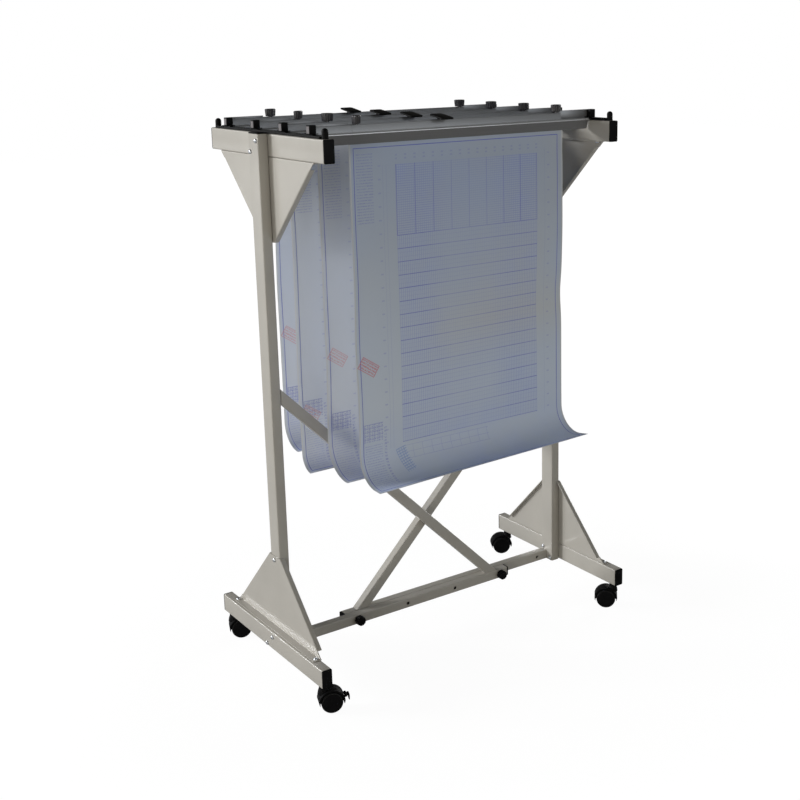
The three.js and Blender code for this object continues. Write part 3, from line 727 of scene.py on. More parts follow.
def addTubes(side):
    t, f, b, turn = tubeSet, frameSet, baseSet, halfTurn[side]
    wall, corner = t["wall"], t["corner"]
    upright = tubeBar(t["wide"], f["uprightDeep"], wall, corner, f["footZ"][0], f["armZ"][1], "z")
    moved(upright, turn @ at(middle(f["uprightX"]), 0, 0))
    addCoated(side + "UprightTube", [upright], side + "_upright")
    for label in ("foot", "arm"):
        half = f[label + "Half"] - f["flange"] - f["seam"]
        tube = tubeBar(t["wide"], t[label + "High"], wall, corner, -half, half, "y")
        moved(tube, turn @ at(middle(f[label + "X"]), 0, middle(f[label + "Z"])))
        addCoated(side + label.title() + "Tube", [tube], side + "_" + label)

    # crossbar with its row of lock holes
    wallX = f["uprightX"][1] + f["seam"]
    bar = tubeBar(b["deep"], b["high"], wall, b["corner"], wallX, b["reach"], "x")
    moved(bar, at(0, barY, b["barZ"]))
    holes = []
    for i in range(b["holes"]):
        hole = rod(b["hole"], -b["drill"], b["drill"], "y", 28)
        holes.append(moved(hole, at((1.5 - i) * b["pitch"], barY, b["barZ"])))
    bar = moved(cutBy(bar, holes), turn)
    name = bars[side]
    addCoated(name + "Crossbar", [bar], name + "_crossbar")

    # brace at 45 degrees, cut flush with the upright and with the crossbar's top
    seat, spare = b["seat"], b["braceSpare"]
    drop = b["braceTop"] - seat
    brace = tubeBar(b["braceWidth"], b["deep"], wall, b["corner"], -spare, drop * math.sqrt(2) + spare, "z")
    moved(brace, about("Y", 135) @ at(b["braceWidth"] / 2, 0, 0))
    moved(brace, at(wallX, barY, b["braceTop"]))
    trims = [
        boxMesh(wallX - 0.2, wallX, -0.1, 0.1, 0.5, 0.9),
        boxMesh(wallX + 0.3, wallX + 1.0, -0.1, 0.1, seat - 0.2, seat),
    ]
    brace = moved(cutBy(brace, trims), turn)
    addCoated(name + "Brace", [brace], name + "_brace")


# folded sheet gussets: web, two slanting folded edges and a folded seat, with rounded bends
gussetSet = metres({
    "plate": 2, "flange": 12.5, "seat": 19, "bend": 1.7, "notch": 16, "seatCut": 5, "narrow": 27,
    "ease": 0.4, "past": 1,
    # x of the web, heights of seat and tip, half width at the seat
    "lower": (-430, 111.3, 295, 207), "upper": (-402.4, 1232.7, 1043, 221),
})


def lofted(low, high):
    # a closed body between two like outlines
    count = len(low)
    faces = [[i, (i + 1) % count, (i + 1) % count + count, i + count] for i in range(count)]
    faces += [list(range(count)), list(range(count, 2 * count))]
    return facedOut(meshOf(list(low) + list(high), faces))


def foldSection(g, reach):
    # distance in from the fold's outer face, and x: the bend from the web, the flange, and back inside
    t, r = g["plate"], g["bend"]
    center = t / 2 + r
    bends = ((r + t / 2, np.linspace(0, math.pi / 2, 9)), (r - t / 2, np.linspace(math.pi / 2, 0, 9)))
    outer, inner = (
        [(center - rho * math.sin(a), center - rho * math.cos(a)) for a in angles] for rho, angles in bends
    )
    return outer + [(0, reach), (t, reach)] + inner


def gussetMeshes(g, height, wide, seatSide):
    t, notch = g["plate"], g["notch"]
    start = t / 2 + g["bend"]
    slope = (wide - g["narrow"]) / height
    lean = math.hypot(1, slope)

    def edge(z, inward=0.0):
        return wide - slope * z - inward * lean

    def beyondBend(a, b):
        return min(abs(a.x), abs(b.x)) > start + g["past"]

    def folded(rings):
        return eased(lofted(*rings), g["ease"], 2, 60, beyondBend)

    right = [(edge(start), start), (edge(notch), notch)]
    right += [(edge(notch, start), notch), (edge(height, start), height)]
    parts = [prism(right + [(-y, z) for y, z in right[::-1]], 0, t, "x")]
    section = foldSection(g, g["flange"])
    for s in (-1, 1):
        parts.append(folded([[(x, s * edge(z, d), z) for d, x in section] for z in (notch, height)]))
    shift = 0 if seatSide > 0 else t
    seat = []
    for d, x in foldSection(g, g["seat"]):
        half = wide - g["seatCut"] * (x > g["seat"] - g["past"])
        seat.append((shift + seatSide * x, half, d))
    parts.append(folded([[(x, s * half, d) for x, half, d in seat] for s in (-1, 1)]))
    return parts


def addGussets(side):
    g = gussetSet
    for label, seatSide, face in (("lower", -1, Matrix.Identity(4)), ("upper", 1, about("X", 180))):
        x, seat, tip, wide = g[label]
        spot = halfTurn[side] @ at(x, 0, seat) @ face
        meshes = [moved(mesh, spot) for mesh in gussetMeshes(g, abs(tip - seat), wide, seatSide)]
        addCoated(side + label.title() + "Gusset", meshes, side + "_" + label + "_gusset")


# black end caps: a rounded flange, and a plug inside the tube
capSet = metres({
    "corner": 3.2, "ease": 0.9, "plugIn": 3.6, "plugCorner": 1.2, "sunk": 0.4, "seam": 0.2,
    "armPlug": 18, "footPlug": 12,
    # thickness, and length of the plug
    "upright": (2.6, 12), "bar": (4.2, 10),
})


def addCap(name, spot, width, depth, thick, plug, *replaced):
    c = capSet
    flange = prism(roundRect(width, depth, c["corner"]), 0, thick, "z", c["ease"], 3)
    inner = roundRect(width - c["plugIn"], depth - c["plugIn"], c["plugCorner"])
    parts = [(flange, 0), (prism(inner, -plug, c["sunk"], "z"), 0)]
    addPiece(name, placed(parts, spot), [blackPlastic], "rack", "black_plastic", *replaced)


def addCaps(side):
    c, t, f, b, turn = capSet, tubeSet, frameSet, baseSet, halfTurn[side]
    ends = ("front", "rear") if side == "left" else ("rear", "front")
    for s, end in zip((-1, 1), ends):
        for label in ("arm", "foot"):
            name, node = side + label.title() + end.title() + "Cap", side + "_" + label + "_" + end + "_cap"
            y = s * (f[label + "Half"] - f["flange"])
            spot = turn @ at(middle(f[label + "X"]), y, middle(f[label + "Z"])) @ about("X", -s * 90)
            addCap(name, spot, t["wide"], t[label + "High"], f["flange"], c[label + "Plug"], node)
    top = turn @ at(middle(f["uprightX"]), 0, f["armZ"][1] + c["seam"])
    addCap(side + "UprightCap", top, t["wide"], f["uprightDeep"], *c["upright"])
    tip = turn @ at(b["reach"] + c["seam"], barY, b["barZ"]) @ about("Y", 90)
    addCap(bars[side] + "BarCap", tip, b["high"], b["deep"], *c["bar"])


# ribbed rails with round-topped pegs
railSet = metres({
    "wide": 21, "long": 493, "base": 3, "rib": 2, "ribWide": 5, "rounds": (0.3, 0.3, 1, 1, 0.6, 0.6, 1, 1),
    "peg": 7, "pegTop": 21.7, "pegY": 253, "pegFoot": 0.3, "pegFootZ": (0.05, 2, 2.4),
    "place": (-389.9, 0, 1283.3),
})


def addRail(side):
    r = railSet
    h, w, top, peg = r["wide"] / 2, r["ribWide"], r["base"] + r["rib"], r["peg"]
    rib = [(h, top), (h - w, top), (h - w, r["base"])]
    outline = [(-h, 0), (h, 0)] + rib + [(-x, z) for x, z in rib[::-1]]
    strip = prism(filleted(outline, r["rounds"], 3), -r["long"] / 2, r["long"] / 2, "y")
    parts = [(strip, 0)]
    quarter = np.linspace(0, math.pi / 2, 9)[:-1]
    dome = [(peg * math.cos(a), r["pegTop"] - peg + peg * math.sin(a)) for a in quarter]
    foot = peg + r["pegFoot"]
    profile = list(zip((foot, foot, peg), r["pegFootZ"])) + dome + [(0, r["pegTop"])]
    for s in (-1, 1):
        parts.append((moved(turned(profile, 40), at(0, s * r["pegY"], 0)), 0))
    parts = placed(parts, halfTurn[side] @ at(*r["place"]))
    addPiece(side + "RailStrip", parts, [blackPlastic], "rack", "black_plastic", side + "_rail")


for end in ("left", "right"):
    addTubes(end)
    addGussets(end)
    addCaps(end)
    addRail(end)
print("end frames made")

# zinc pan heads with a cross recess
screwSet = metres({
    "radius": 5.1, "high": 4.0, "rim": 0.8, "sunk": 0.3, "slot": 0.55, "slotReach": 2.4, "slotDeep": 1.1,
})
# places in mm on the left end unit, each with the way that its head faces
screwPlaces = {
    # pairs through foot and arm (x, z), on the gussets' seats (x, y, z) and at their tips (x, z)
    "pairs": ((-453, 86, -1), (-402.7, 86, 1), (-427.7, 1256, -1), (-377.4, 1256, 1)),
    "pairY": 14.5, "pairZ": 12.5,
    "seats": ((-438, 198, 113.3, 1), (-390, 208, 1230.7, -1)),
    "tips": ((-430, 285, -1), (-400.4, 1053, 1)),
}


def screwHead(s):
    dome, quarter = s["high"] - s["rim"], np.linspace(0, math.pi / 2, 7)[:-1]
    arc = [(s["radius"] * math.cos(a) ** 0.7, s["rim"] + dome * math.sin(a)) for a in quarter]
    head = turned([(s["radius"], -s["sunk"])] + arc + [(0, s["high"])], 24)
    reach, half, deep = s["slotReach"], s["slot"], s["high"] - s["slotDeep"]
    for x, y in ((reach, half), (half, reach)):
        head = cutBy(head, [boxMesh(-x, x, -y, y, deep, 0.01)])
    return head


def screwSpots(s):
    spots = []
    for sy, sz in ((-1, 1), (1, -1)):
        spots += [((x, sy * s["pairY"], z + sz * s["pairZ"]), (way, 0, 0)) for x, z, way in s["pairs"]]
    for sy in (-1, 1):
        spots += [((x, sy * y, z), (0, 0, way)) for x, y, z, way in s["seats"]]
    return spots + [((x, 0, z), (way, 0, 0)) for x, z, way in s["tips"]]


def addScrews():
    points, facings = [], []
    for side in ("left", "right"):
        turn = halfTurn[side].to_3x3()
        for place, facing in screwSpots(screwPlaces):
            points.append(turn @ Vector(metres(place)))
            facings.append(turn @ Vector(facing))
    seed = meshOf(points, [])
    attribute = seed.attributes.new("facing", "FLOAT_VECTOR", "POINT")
    attribute.data.foreach_set("vector", [c for f in facings for c in f])
    head = bpy.data.objects.new("screwHead", screwHead(screwSet))
    scene.collection.objects.link(head)
    mesh = grown(screwTree, seed, Head=head, Finish=zinc)
    bpy.data.objects.remove(head)
    addPiece("frameScrews", [(mesh, 0)], [zinc], "rack", "powder_coat", angle=28)


addScrews()
print("screws made")

# width knobs on the front crossbar
widthKnobSet = metres({
    "across": 25, "deep": 25, "high": 15, "fluteDeep": 1.0, "dome": 0.9, "neck": 8, "neckLong": 3,
    "stud": 4, "studLong": 45, "overlap": 1, "face": -22.8,
}) | {"flutes": 10.0, "taper": 0.95, "round": 0.2}


def addWidthKnob(side, sign):
    w = widthKnobSet
    grip = moved(gripMesh(w, blackPlastic), at(0, 0, w["neckLong"]))
    neck = rod(w["neck"], 0, w["neckLong"] + w["overlap"], "z", 40)
    stud = rod(w["stud"], -w["studLong"], w["overlap"], "z", 24)
    spot = at(sign * 1.5 * baseSet["pitch"], w["face"], baseSet["barZ"]) @ about("X", 90)
    parts = placed([(grip, 0), (neck, 0), (stud, 1)], spot)
    name = side + "_width_knob"
    addPiece(side + "WidthKnob", parts, [blackPlastic, zinc], name, "black_plastic", name, angle=40)


addWidthKnob("left", -1)
addWidthKnob("right", 1)
print("width knobs made")

# casters, drawn about the stem and trailing along +x
casterSet = metres({
    "wheel": 25, "wide": 15, "web": 5, "trail": 18, "gap": 0.3, "axle": 3, "axleHalf": 4,
    "hoodIn": 26.8, "hoodOut": 30.5, "hoodHalf": 16.5, "hoodEase": 0.8, "skirt": 6, "lip": 0.4,
    "overlap": 1, "bay": 60,
    # radius and height up the neck, then the collar and the stem
    "neck": ((13, 44), (11.6, 52), (10.2, 56)), "collar": 9, "collarFoot": 59, "collarEase": (0.8, 1),
    "top": 65.7, "stem": 5.5, "stemTop": 86,
    # how far the tread's rounded edges lie in from its radius and from its sides
    "innerEdge": ((1.6, 0), (0.5, 0.5), (0.05, 1.6), (0, 5)),
    "outerEdge": ((0, 5), (0.1, 3), (0.7, 1.2), (1.8, 0.3), (3.2, 0)),
}) | {
    "treadIn": 0.62, "lipTurn": 24,
    # share of the wheel's radius, and height in mm over the tread's side
    "disc": (
        (0.86, -0.05), (0.85, -0.5), (0.832, -0.5), (0.82, -0.1),
        (0.78, 0.1), (0.55, 0.3), (0.28, 0.45), (0, 0.5),
    ),
}
brakeSet = metres({
    "gap": 3.3, "start": 4.5, "reach": 9, "tab": 12, "draft": 0.2, "half": 7.8, "thick": 1.5,
    "rounds": (0, 1, 0.8, 0.8, 3, 0), "ease": 0.7, "earEase": 0.3,
    "neckX": (-1, 6), "neckHalf": 5.6, "hub": 3, "hubHalf": 5.7, "pin": 1.5, "pinHalf": 9, "pinHole": 1.75,
    "ear": ((-5, -3), (3, -3), (3, 3), (-5, 3)), "earRounds": (0, 2.6, 2.6, 0), "earY": (6, 9), "drill": 20,
}) | {"angle": 16}
# x and y in mm, and the way each caster points
casterSpots = {
    "front_left": (-440.5, -230, 340), "rear_left": (-440.5, 230, 339),
    "front_right": (440.5, -230, 138), "rear_right": (440.5, 230, 151),
}


def hoodMeshes(c):
    tip = math.asin(c["skirt"] / c["hoodOut"])

    def onArc(radius, a):
        return (c["trail"] + radius * math.cos(a), c["wheel"] + radius * math.sin(a))

    # the shell thins towards its lips
    outer, inner = [], []
    for a in np.linspace(-tip, math.pi + tip, 61):
        edge = min(a + tip, math.pi + tip - a) / math.radians(c["lipTurn"])
        thin = (1 - min(edge, 1.0)) ** 1.5 * (c["hoodOut"] - c["hoodIn"] - c["lip"])
        outer.append(onArc(c["hoodOut"] - 0.65 * thin, a))
        inner.append(onArc(c["hoodIn"] + 0.35 * thin, a))
    shell = prism(outer + inner[::-1], -c["hoodHalf"], c["hoodHalf"], "y", c["hoodEase"], 3)
    # wall between the wheels
    arc = [onArc(c["hoodIn"] + c["overlap"], a) for a in np.linspace(-tip, math.pi + tip, 33)]
    wall = prism(arc, -c["web"] / 2, c["web"] / 2, "y")
    collar, top, (inward, down) = c["collar"], c["top"], c["collarEase"]
    neck = c["neck"] + [(collar, c["collarFoot"]), (collar, top - down), (collar - inward, top)]
    neck += [(c["stem"], top), (c["stem"], c["stemTop"]), (0, c["stemTop"])]
    bays = []
    for s in (-1, 1):
        low, high = sorted((s * c["web"] / 2, s * c["bay"]))
        bays.append(moved(rod(c["hoodIn"], low, high, "y", 64), at(c["trail"], 0, c["wheel"])))
    return [(shell, 0), (wall, 0), (cutBy(turned(neck, 40), bays), 0)]


def wheelMesh(c):
    r, inner = c["wheel"], c["web"] / 2 + c["gap"]
    outer = inner + c["wide"]
    disc = [(share * r, outer + rise * mm) for share, rise in c["disc"]]
    tread = [(c["treadIn"] * r, inner)] + [(r - x, inner + y) for x, y in c["innerEdge"]]
    tread += [(r - x, outer - y) for x, y in c["outerEdge"]] + disc[:1]
    return [(turned(tread, 72), 1), (turned(disc, 72), 0)]


def brakePivot(c, b):
    reach, angle = c["hoodOut"] + b["gap"], math.radians(b["angle"])
    return at(c["trail"] + reach * math.cos(angle), 0, c["wheel"] + reach * math.sin(angle))


def leverMesh(b):
    t, long, drop, half = b["thick"], b["reach"], b["tab"], b["half"]
    (start, end), neckHalf = b["neckX"], b["neckHalf"]
    profile = [(b["start"], -t), (long - 2.2 * t, -t), (long - 1.6 * t, -drop), (long - b["draft"], -drop)]
    profile += [(long, t), (b["start"], t)]
    tread = prism(filleted(profile, b["rounds"], 5), -half, half, "y", b["ease"], 2)
    neck = prism([(start, -t), (end, -t), (end, t), (start, t)], -neckHalf, neckHalf, "y")
    hub = rod(b["hub"], -b["hubHalf"], b["hubHalf"], "y", 28)
    pin = rod(b["pin"], -b["pinHalf"], b["pinHalf"], "y", 20)
    return [(mesh, 0) for mesh in (tread, neck, hub, pin)]


def earMeshes(b):
    outline = filleted(b["ear"], b["earRounds"], 5)
    parts = []
    for s in (-1, 1):
        low, high = sorted(s * y for y in b["earY"])
        hole = rod(b["pinHole"], -b["drill"], b["drill"], "y", 20)
        parts.append((cutBy(prism(outline, low, high, "y", b["earEase"], 1), [hole]), 0))
    return parts


def addCaster(name, x, y, swivel):
    c, b, slotName = casterSet, brakeSet, "black_plastic"
    spot = at(x * mm, y * mm, 0) @ about("Z", swivel)
    end, side = name.split("_")
    label = end + side.title()
    braked = name == "front_left"
    hood, pivot = hoodMeshes(c), brakePivot(c, b)
    if braked:
        hood += placed(earMeshes(b), pivot @ about("Y", -b["angle"]))
    hood = placed(hood, spot)
    addPiece(label + "CasterHood", hood, [blackPlastic], name + "_caster", slotName, name + "_caster_hood")
    hub = spot @ at(c["trail"], 0, c["wheel"])
    wheels = [(moved(rod(c["axle"], -c["axleHalf"], c["axleHalf"], "y", 24), hub), 0)]
    for s in (-1, 1):
        wheels += placed(wheelMesh(c), hub @ about("X", -s * 90))
    finishes = [blackPlastic, wheelTread]
    addPiece(label + "CasterWheels", wheels, finishes, name + "_wheels", slotName, name + "_caster_wheels")
    if braked:
        lever, body = placed(placed(leverMesh(b), pivot), spot), name + "_brake"
        addPiece(label + "BrakeLever", lever, [blackPlastic], body, slotName, body + "_lever")


for casterName, casterSpot in casterSpots.items():
    addCaster(casterName, *casterSpot)
print("casters made")

# clamps: y from the middle of the end blocks, z from the top of the rails
clampSet = metres({
    "places": (-192, -69, 64, 202), "railTop": 1288.3, "shift": -2.5, "trough": 372.4, "slotHalf": 320,
    "webEnd": 293, "block": 377.5, "blockLong": 16, "tongue": 6.5, "overlap": 1, "card": (-0.3, 0.35),
    "barHalf": 289, "ease": 0.3, "ridgeY": (-8.2, -4.3), "ridgeZ": (-4.9, 0.2),
    # y and z of the web's end, the end block, its tongue and its card
    "webBox": (5.45, 7.55, 0.3, 20), "blockBox": (-7.5, 7.5, 0.3, 20), "tongueBox": (-4.5, 7.4, 0.3, 2.4),
    "cardBox": (-5.6, 5.6, 3, 17.5),
    "knobX": 276, "knobY": 0.9, "knobHole": 2.05, "drill": 30, "handleX": -55,
}) | {"leftTurns": (70, -36, 40, 5), "rightTurns": (-2, -23, -37, -36)}
# outlines in mm, y and z, with the rounding of their corners
frontWall = [
    (1.0, -26), (3.5, -26), (3.5, -16), (-1.29, -16), (-5.54, -6), (-4.54, -3), (-4.54, 0), (-6.5, -0.6),
    (-8.0, -3), (-8.0, -4.5), (-7.5, -6),
]
wallRounds = [0.6, 0.3, 0.3, 0.6, 1.0, 0.5, 0.8, 1.6, 1.2, 0.8, 0.6]
backWeb = [(5.5, -26), (7.5, -26), (7.5, 17), (5.5, 17)]
webRounds = [0.3, 0.5, 0.8, 0.8]
footBridge = [(3.4, -26), (5.6, -26), (5.6, -16), (3.4, -16)]
wedge = [(4.2, 15.5), (-1.4, 15.5), (-4.24, 1.2), (-4.24, -8.3), (-1.0, -15.7), (4.2, -15.7)]
wedgeRounds = [0.5, 0.6, 0.8, 0.6, 0.5, 0.4]
hangerFinishes = [clampMetalShaded, blackPlastic, blankCard, ridgeHighlightMetal, webMetal, barMetal]
onShadedMetal, onPlastic, onCard, onRidgeHighlight, onWeb, onBar = range(6)


def extruded(outline, low, high, soft=0.0):
    return prism([(y * mm, z * mm) for y, z in outline], low, high, "x", soft, 1)


def hangerMeshes(c):
    trough, block, end, ease = c["trough"], c["block"], c["block"] + c["blockLong"], c["ease"]
    wall = extruded(filleted(frontWall, wallRounds, 4), -trough, trough, ease)
    web = extruded(filleted(backWeb, webRounds, 3), -trough, trough, ease)
    # the front wall takes the darker tone, a painted shade
    parts = [(wall, onShadedMetal), (web, onWeb)]
    # reach along x, section, rounding and its steps, finish
    boxes = (
        ((c["webEnd"], block + c["overlap"]), c["webBox"], 0.5 * mm, 2, onWeb),
        ((block, end), c["blockBox"], 1.2 * mm, 3, onPlastic),
        ((block - c["tongue"], block + c["overlap"]), c["tongueBox"], 0.5 * mm, 2, onPlastic),
        ([end + x for x in c["card"]], c["cardBox"], 0.12 * mm, 1, onCard),
    )
    for s in (-1, 1):
        low, high = sorted((s * c["slotHalf"], s * trough))
        parts.append((extruded(footBridge, low, high), onShadedMetal))
        for reach, section, soft, steps, finish in boxes:
            low, high = sorted(s * x for x in reach)
            parts.append((boxMesh(low, high, *section, soft, steps), finish))
    # the left end of the trough is filled flush with the wedge bar
    outline = filleted(wedge, wedgeRounds, 4)
    low, high = -(block - c["overlap"]), -(c["barHalf"] + ease)
    parts.append((extruded(outline, low, high, ease / 2), onBar))
    return parts


def ridgeHighlightFaces(c, mesh):
    # the nose along the front is painted bright, as a painted highlight
    (y0, y1), (z0, z1) = c["ridgeY"], c["ridgeZ"]
    return [face.index for face in mesh.polygons if y0 < face.center.y < y1 and z0 < face.center.z < z1]


def wedgeMesh(c):
    bar = extruded(filleted(wedge, wedgeRounds, 4), -c["barHalf"], c["barHalf"], c["ease"])
    holes = []
    for s in (-1, 1):
        hole = rod(c["knobHole"], -c["drill"], c["drill"], "z", 20)
        holes.append(moved(hole, at(s * c["knobX"], c["knobY"], 0)))
    return cutBy(bar, holes)


knobSet = metres({
    "across": 24.6, "deep": 18.0, "high": 16.9, "fluteDeep": 1.0, "dome": 0.5, "foot": 18.1,
    # radius, foot and top
    "neck": (6.5, 17.6, 18.5), "sleeve": (4, 15.8, 17.9),
    "screw": ((1.2, -20), (1.75, -19.4), (1.75, 16.5)),
}) | {"flutes": 14.0, "taper": 1.137, "round": 0.1}


def knobMeshes(k):
    grip = moved(gripMesh(k, knobPlastic), at(0, 0, k["foot"]))
    neck, sleeve = rod(*k["neck"], "z", 36), rod(*k["sleeve"], "z", 28)
    return [(grip, 0), (neck, 0), (sleeve, 0), (turned(k["screw"], 20), 1)]


handleSet = metres({
    "plate": (34, 52, 6), "half": 1.75, "ease": 1.0, "high": 22.5, "stemHalf": 6, "stemEase": (0.8, 0.6),
    # y and z
    "post": (5.5, 9.8, 17.3, 22.5), "hook": (7.8, 9.8, 5, 22.5),
}) | {"tilt": 9}


def handleMeshes(h):
    plate = prism(roundRect(*h["plate"], 8), -h["half"], h["half"], "z", h["ease"], 3)
    moved(plate, at(0, 0, h["high"]) @ about("X", h["tilt"]))
    stem = (-h["stemHalf"], h["stemHalf"])
    post, hook = (boxMesh(*stem, *h[n], soft, 2) for n, soft in zip(("post", "hook"), h["stemEase"]))
    return [(plate, 0), (post, 0), (hook, 0)]


# plans: each side of the sheet has its own curl, and the sheet is ruled between the two
planSet = metres({
    "wide": 594, "long": 841, "top": -3, "line": 4.85, "half": 0.14, "shifts": (2.5, -6.5, -9.5, 18.5),
}) | {
    "columns": 66, "rows": 190,
    # curl radius in mm, turn in degrees and tail in mm, at each side of the four
    "left": ((66, 88, 20), (72, 90, 4), (40, 88, 0), (64, 90, 4)),
    "right": ((60, 100, 29), (72, 92, 6), (38, 90, 0), (62, 92, 5)),
    "waves": (1.0, 0.8, 0.7, 0.8), "edgeWaves": (1.2, 2.2, 2.2, 2.2),
    # soft bulges of the front sheet's right edge: place and width in metres, depth in mm
    "bulges": ((0.055, 0.030, 6.0), (0.245, 0.06, -2.0), (0.42, 0.050, 5.5)),
}


def planMesh(p, index):
    count, rows = p["columns"], p["rows"]
    left, right = p["left"][index], p["right"][index]
    line = np.zeros((rows + 1, count + 1, 3))
    for i in range(count + 1):
        k = i / count
        radius, turn, tail = (a + (b - a) * k for a, b in zip(left, right))
        radius, turn, tail = radius * mm, math.radians(turn), tail * mm
        straight = p["long"] - radius * turn - tail
        for j in range(rows + 1):
            s = p["long"] * j / rows
            if s <= straight:
                y, z = 0.0, -s
            elif s <= straight + radius * turn:
                a = (s - straight) / radius
                y, z = -radius * (1 - math.cos(a)), -straight - radius * math.sin(a)
            else:
                d = s - straight - radius * turn
                y = -radius * (1 - math.cos(turn)) - d * math.sin(turn)
                z = -straight - radius * math.sin(turn) - d * math.cos(turn)
            free = max(0.0, (s - 0.03) / (p["long"] - 0.03))
            edge = abs(2 * k - 1) ** 3
            wave = math.sin(9.5 * s + 1.3 * index) * math.sin(math.pi * (1.6 * k + 0.3 * index)) * 2.4
            wave += edge * math.sin(17 * s + 2.2 * index + 3 * k) * p["edgeWaves"][index]
            if index == 0:
                swell = (deep * math.exp(-(((s - mid) / wide) ** 2)) for mid, wide, deep in p["bulges"])
                wave += k**6 * sum(swell)
            y += p["waves"][index] * wave * mm * min(1.0, 3 * free)
            x = (k - 0.5) * p["wide"] + 0.5 * mm * edge * math.sin(23 * s + index) * min(1.0, 4 * free)
            line[j, i] = (x, y, z)
    across = np.gradient(line, axis=1)
    down = np.gradient(line, axis=0)
    normal = np.cross(across, down)
    normal /= np.linalg.norm(normal, axis=2, keepdims=True)
    sides = [line + s * p["half"] * normal for s in (1, -1)]
    points = np.concatenate([side.reshape(-1, 3) for side in sides])
    wide = count + 1
    offset = (rows + 1) * wide
    faces = []
    for j in range(rows):
        for i in range(count):
            a = j * wide + i
            faces.append([a, a + 1, a + wide + 1, a + wide])
            faces.append([offset + a, offset + a + wide, offset + a + wide + 1, offset + a + 1])
    rim = [i for i in range(wide)] + [j * wide + count for j in range(1, rows + 1)]
    rim += [rows * wide + i for i in range(count - 1, -1, -1)] + [j * wide for j in range(rows - 1, 0, -1)]
    for a, b in zip(rim, rim[1:] + rim[:1]):
        faces.append([b, a, offset + a, offset + b])
    mesh = meshOf(points, faces)
    uv = mesh.uv_layers.new(name="plan")
    for loop in mesh.loops:
        j, i = divmod(loop.vertex_index % offset, wide)
        uv.data[loop.index].uv = (p["wide"] * i / count, p["long"] * j / rows)
    return facedOut(mesh)


def addClamp(index):
    c, p, number = clampSet, planSet, str(index + 1)
    body, label, metal = "clamp_" + number, "clamp" + number, "clamp_aluminium"
    spot = at(c["shift"], c["places"][index], c["railTop"])
    parts = hangerMeshes(c)
    ridgeHighlight = ridgeHighlightFaces(c, parts[0][0])
    hanger = addPiece(label + "Hanger", placed(parts, spot), hangerFinishes, body, metal, body + "_hanger")
    # the nose faces take the bright finish, a painted highlight
    for i in ridgeHighlight:
        hanger.data.polygons[i].material_index = onRidgeHighlight
    bar = moved(wedgeMesh(c), spot)
    addPiece(label + "WedgeBar", [(bar, 0)], [barMetal], body + "_bar", metal, body + "_wedge_bar")
    for side, sign in (("left", -1), ("right", 1)):
        place = spot @ at(sign * c["knobX"], c["knobY"], 0) @ about("Z", c[side + "Turns"][index])
        knob, finishes = placed(knobMeshes(knobSet), place), [knobPlastic, zinc]
        name = body + "_" + side + "_knob"
        addPiece(label + side.title() + "Knob", knob, finishes, name, "black_plastic", name, angle=40)
    grip = placed(handleMeshes(handleSet), spot @ at(c["handleX"], 0, 0))
    addPiece(label + "Handle", grip, [blackPlastic], body, "black_plastic", body + "_handle")
    sheet = moved(planMesh(p, index), spot @ at(p["shifts"][index], p["line"], p["top"]))
    name, node = "plan" + number + "Sheet", "plan_" + number
    plan = addPiece(name, [(sheet, 0)], [planPapers[index]], body, "plan_paper", node, angle=60)
    "clamp" + number + "Hanger"


for clampIndex in range(4):
    addClamp(clampIndex)
print("clamps and plans made")

# light and ground
lightSet = {
    # place, aim, size, power, colour
    "lamps": {
        "key": ((-11.0, 7.8, 4.6), (0, 0, 0.8), 3.6, 1330, (0.97, 0.985, 1.0)),
        "edge": ((-8.1, 10.85, 4.3), (0, 0, 0.8), 3.0, 400, (1.0, 1.0, 1.0)),
        "side": ((-1.45, 0.5, 1.45), (-0.3, 0, 1.15), 0.6, 1.0, (1.0, 0.99, 0.97)),
        "low": ((-4.5, -2.4, 0.9), (0, 0, 0.5), 1.8, 51, (1.0, 0.965, 0.90)),
        "front": ((-0.4, -4.4, 0.8), (0, 0, 0.7), 2.6, 18.5, (1.0, 0.935, 0.775)),
        "far": ((6.0, 0.0, 2.0), (0, 0, 0.7), 3.0, 26, (1.0, 0.98, 0.95)),
        "right": ((6.2, 2.3, 1.75), (0, 0.1, 0.7), 3.0, 150, (1.0, 0.99, 0.97)),
        "sheen": ((1.75, -4.0, 1.9), (-0.2, 0, 1.2), 2.2, 24, (0.90, 0.95, 1.0)),
    },
    "sky": 0.05, "glossySky": 0.07, "skyTint": (1, 0.97, 0.89, 1), "seenSky": (1, 1, 1, 1),
}


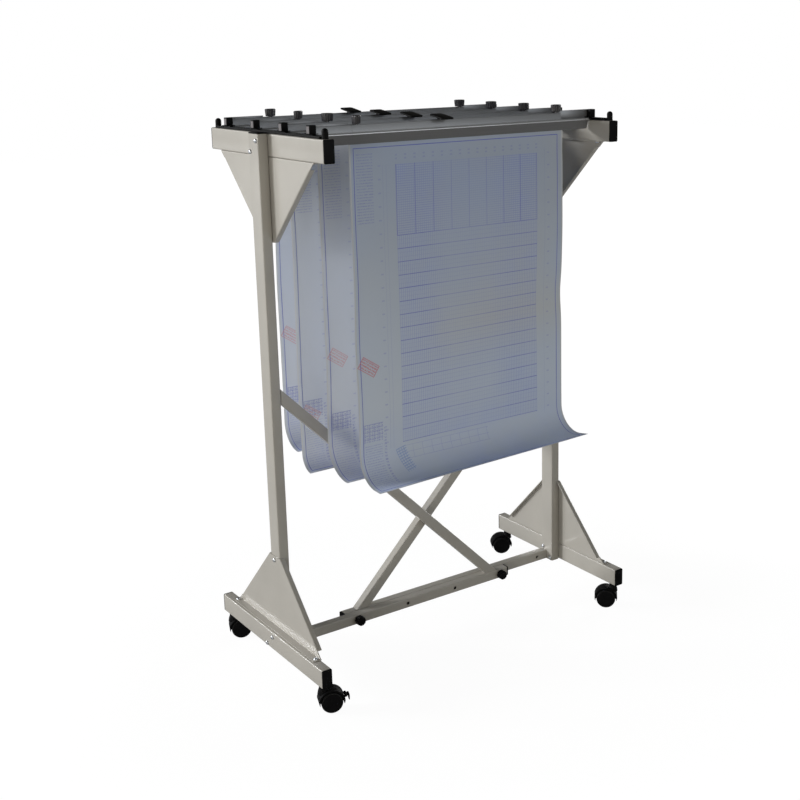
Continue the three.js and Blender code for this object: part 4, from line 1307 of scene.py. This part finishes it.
def addLights(given):
    for name, (place, aim, size, power, color) in given["lamps"].items():
        data = bpy.data.lights.new(name + "Light", "AREA")
        data.shape, data.size, data.energy, data.color = "DISK", size, power, color
        lamp = bpy.data.objects.new(name + "Light", data)
        lamp.location = place
        lamp.visible_camera = False
        lamp.rotation_euler = (Vector(aim) - Vector(place)).to_track_quat("-Z", "Y").to_euler()
        scene.collection.objects.link(lamp)
    world = bpy.data.worlds.new("studio")
    scene.world = world
    world.use_nodes = True
    m = Maker(world.node_tree)
    back = world.node_tree.nodes["Background"]
    path = m.node("ShaderNodeLightPath", None, None, "Is Camera Ray")
    glossy = Value(m, path.socket.node.outputs["Is Glossy Ray"])
    clear = Value(m, path.socket.node.outputs["Is Transmission Ray"])
    seen = m.clamp01(path + clear)
    dim = given["sky"] + glossy * (given["glossySky"] - given["sky"])
    world.node_tree.links.new((dim + seen * (1 - dim)).socket, back.inputs["Strength"])
    tint = m.mix(seen, given["skyTint"], given["seenSky"])
    world.node_tree.links.new(tint.socket, back.inputs["Color"])


# pale floor that the camera sees nearly white: it keeps the shadow close by, and fades out with distance
floorSet = {"half": 14, "color": 0.5, "seen": 0.95, "glow": 0.92, "white": 1.04, "near": 0.7, "far": 2.2}


def addFloor(g):
    h = g["half"]
    mesh = meshOf([(-h, -h, 0), (h, -h, 0), (h, h, 0), (-h, h, 0)], [[0, 1, 2, 3]])
    material, m, shader = newFinish("paleFloor")
    path = m.node("ShaderNodeLightPath", None, None, "Is Camera Ray")
    tone = g["color"] + path * (g["seen"] - g["color"])
    feed(m, shader, Base_Color=tone, Roughness=0.9, Specular_IOR_Level=0.0)
    away = m.node("ShaderNodeVectorMath", {"operation": "LENGTH"}, {0: m.coords()}, "Value")
    fade = m.clamp01((away - g["near"]) / (g["far"] - g["near"]))
    glow = m.node("ShaderNodeEmission", None, {"Color": (1, 1, 1, 1), "Strength": g["white"]})
    share = path * (g["glow"] + fade * (1 - g["glow"]))
    blend = m.node("ShaderNodeMixShader", None, {0: share, 1: Value(m, shader.outputs[0]), 2: glow})
    m.tree.links.new(blend.socket, m.tree.nodes["Material Output"].inputs["Surface"])
    floor = bpy.data.objects.new("floor", mesh)
    floor.data.materials.append(material)
    scene.collection.objects.link(floor)


addLights(lightSet)
addFloor(floorSet)
scene.view_settings.view_transform = "Standard"
print("stage set")
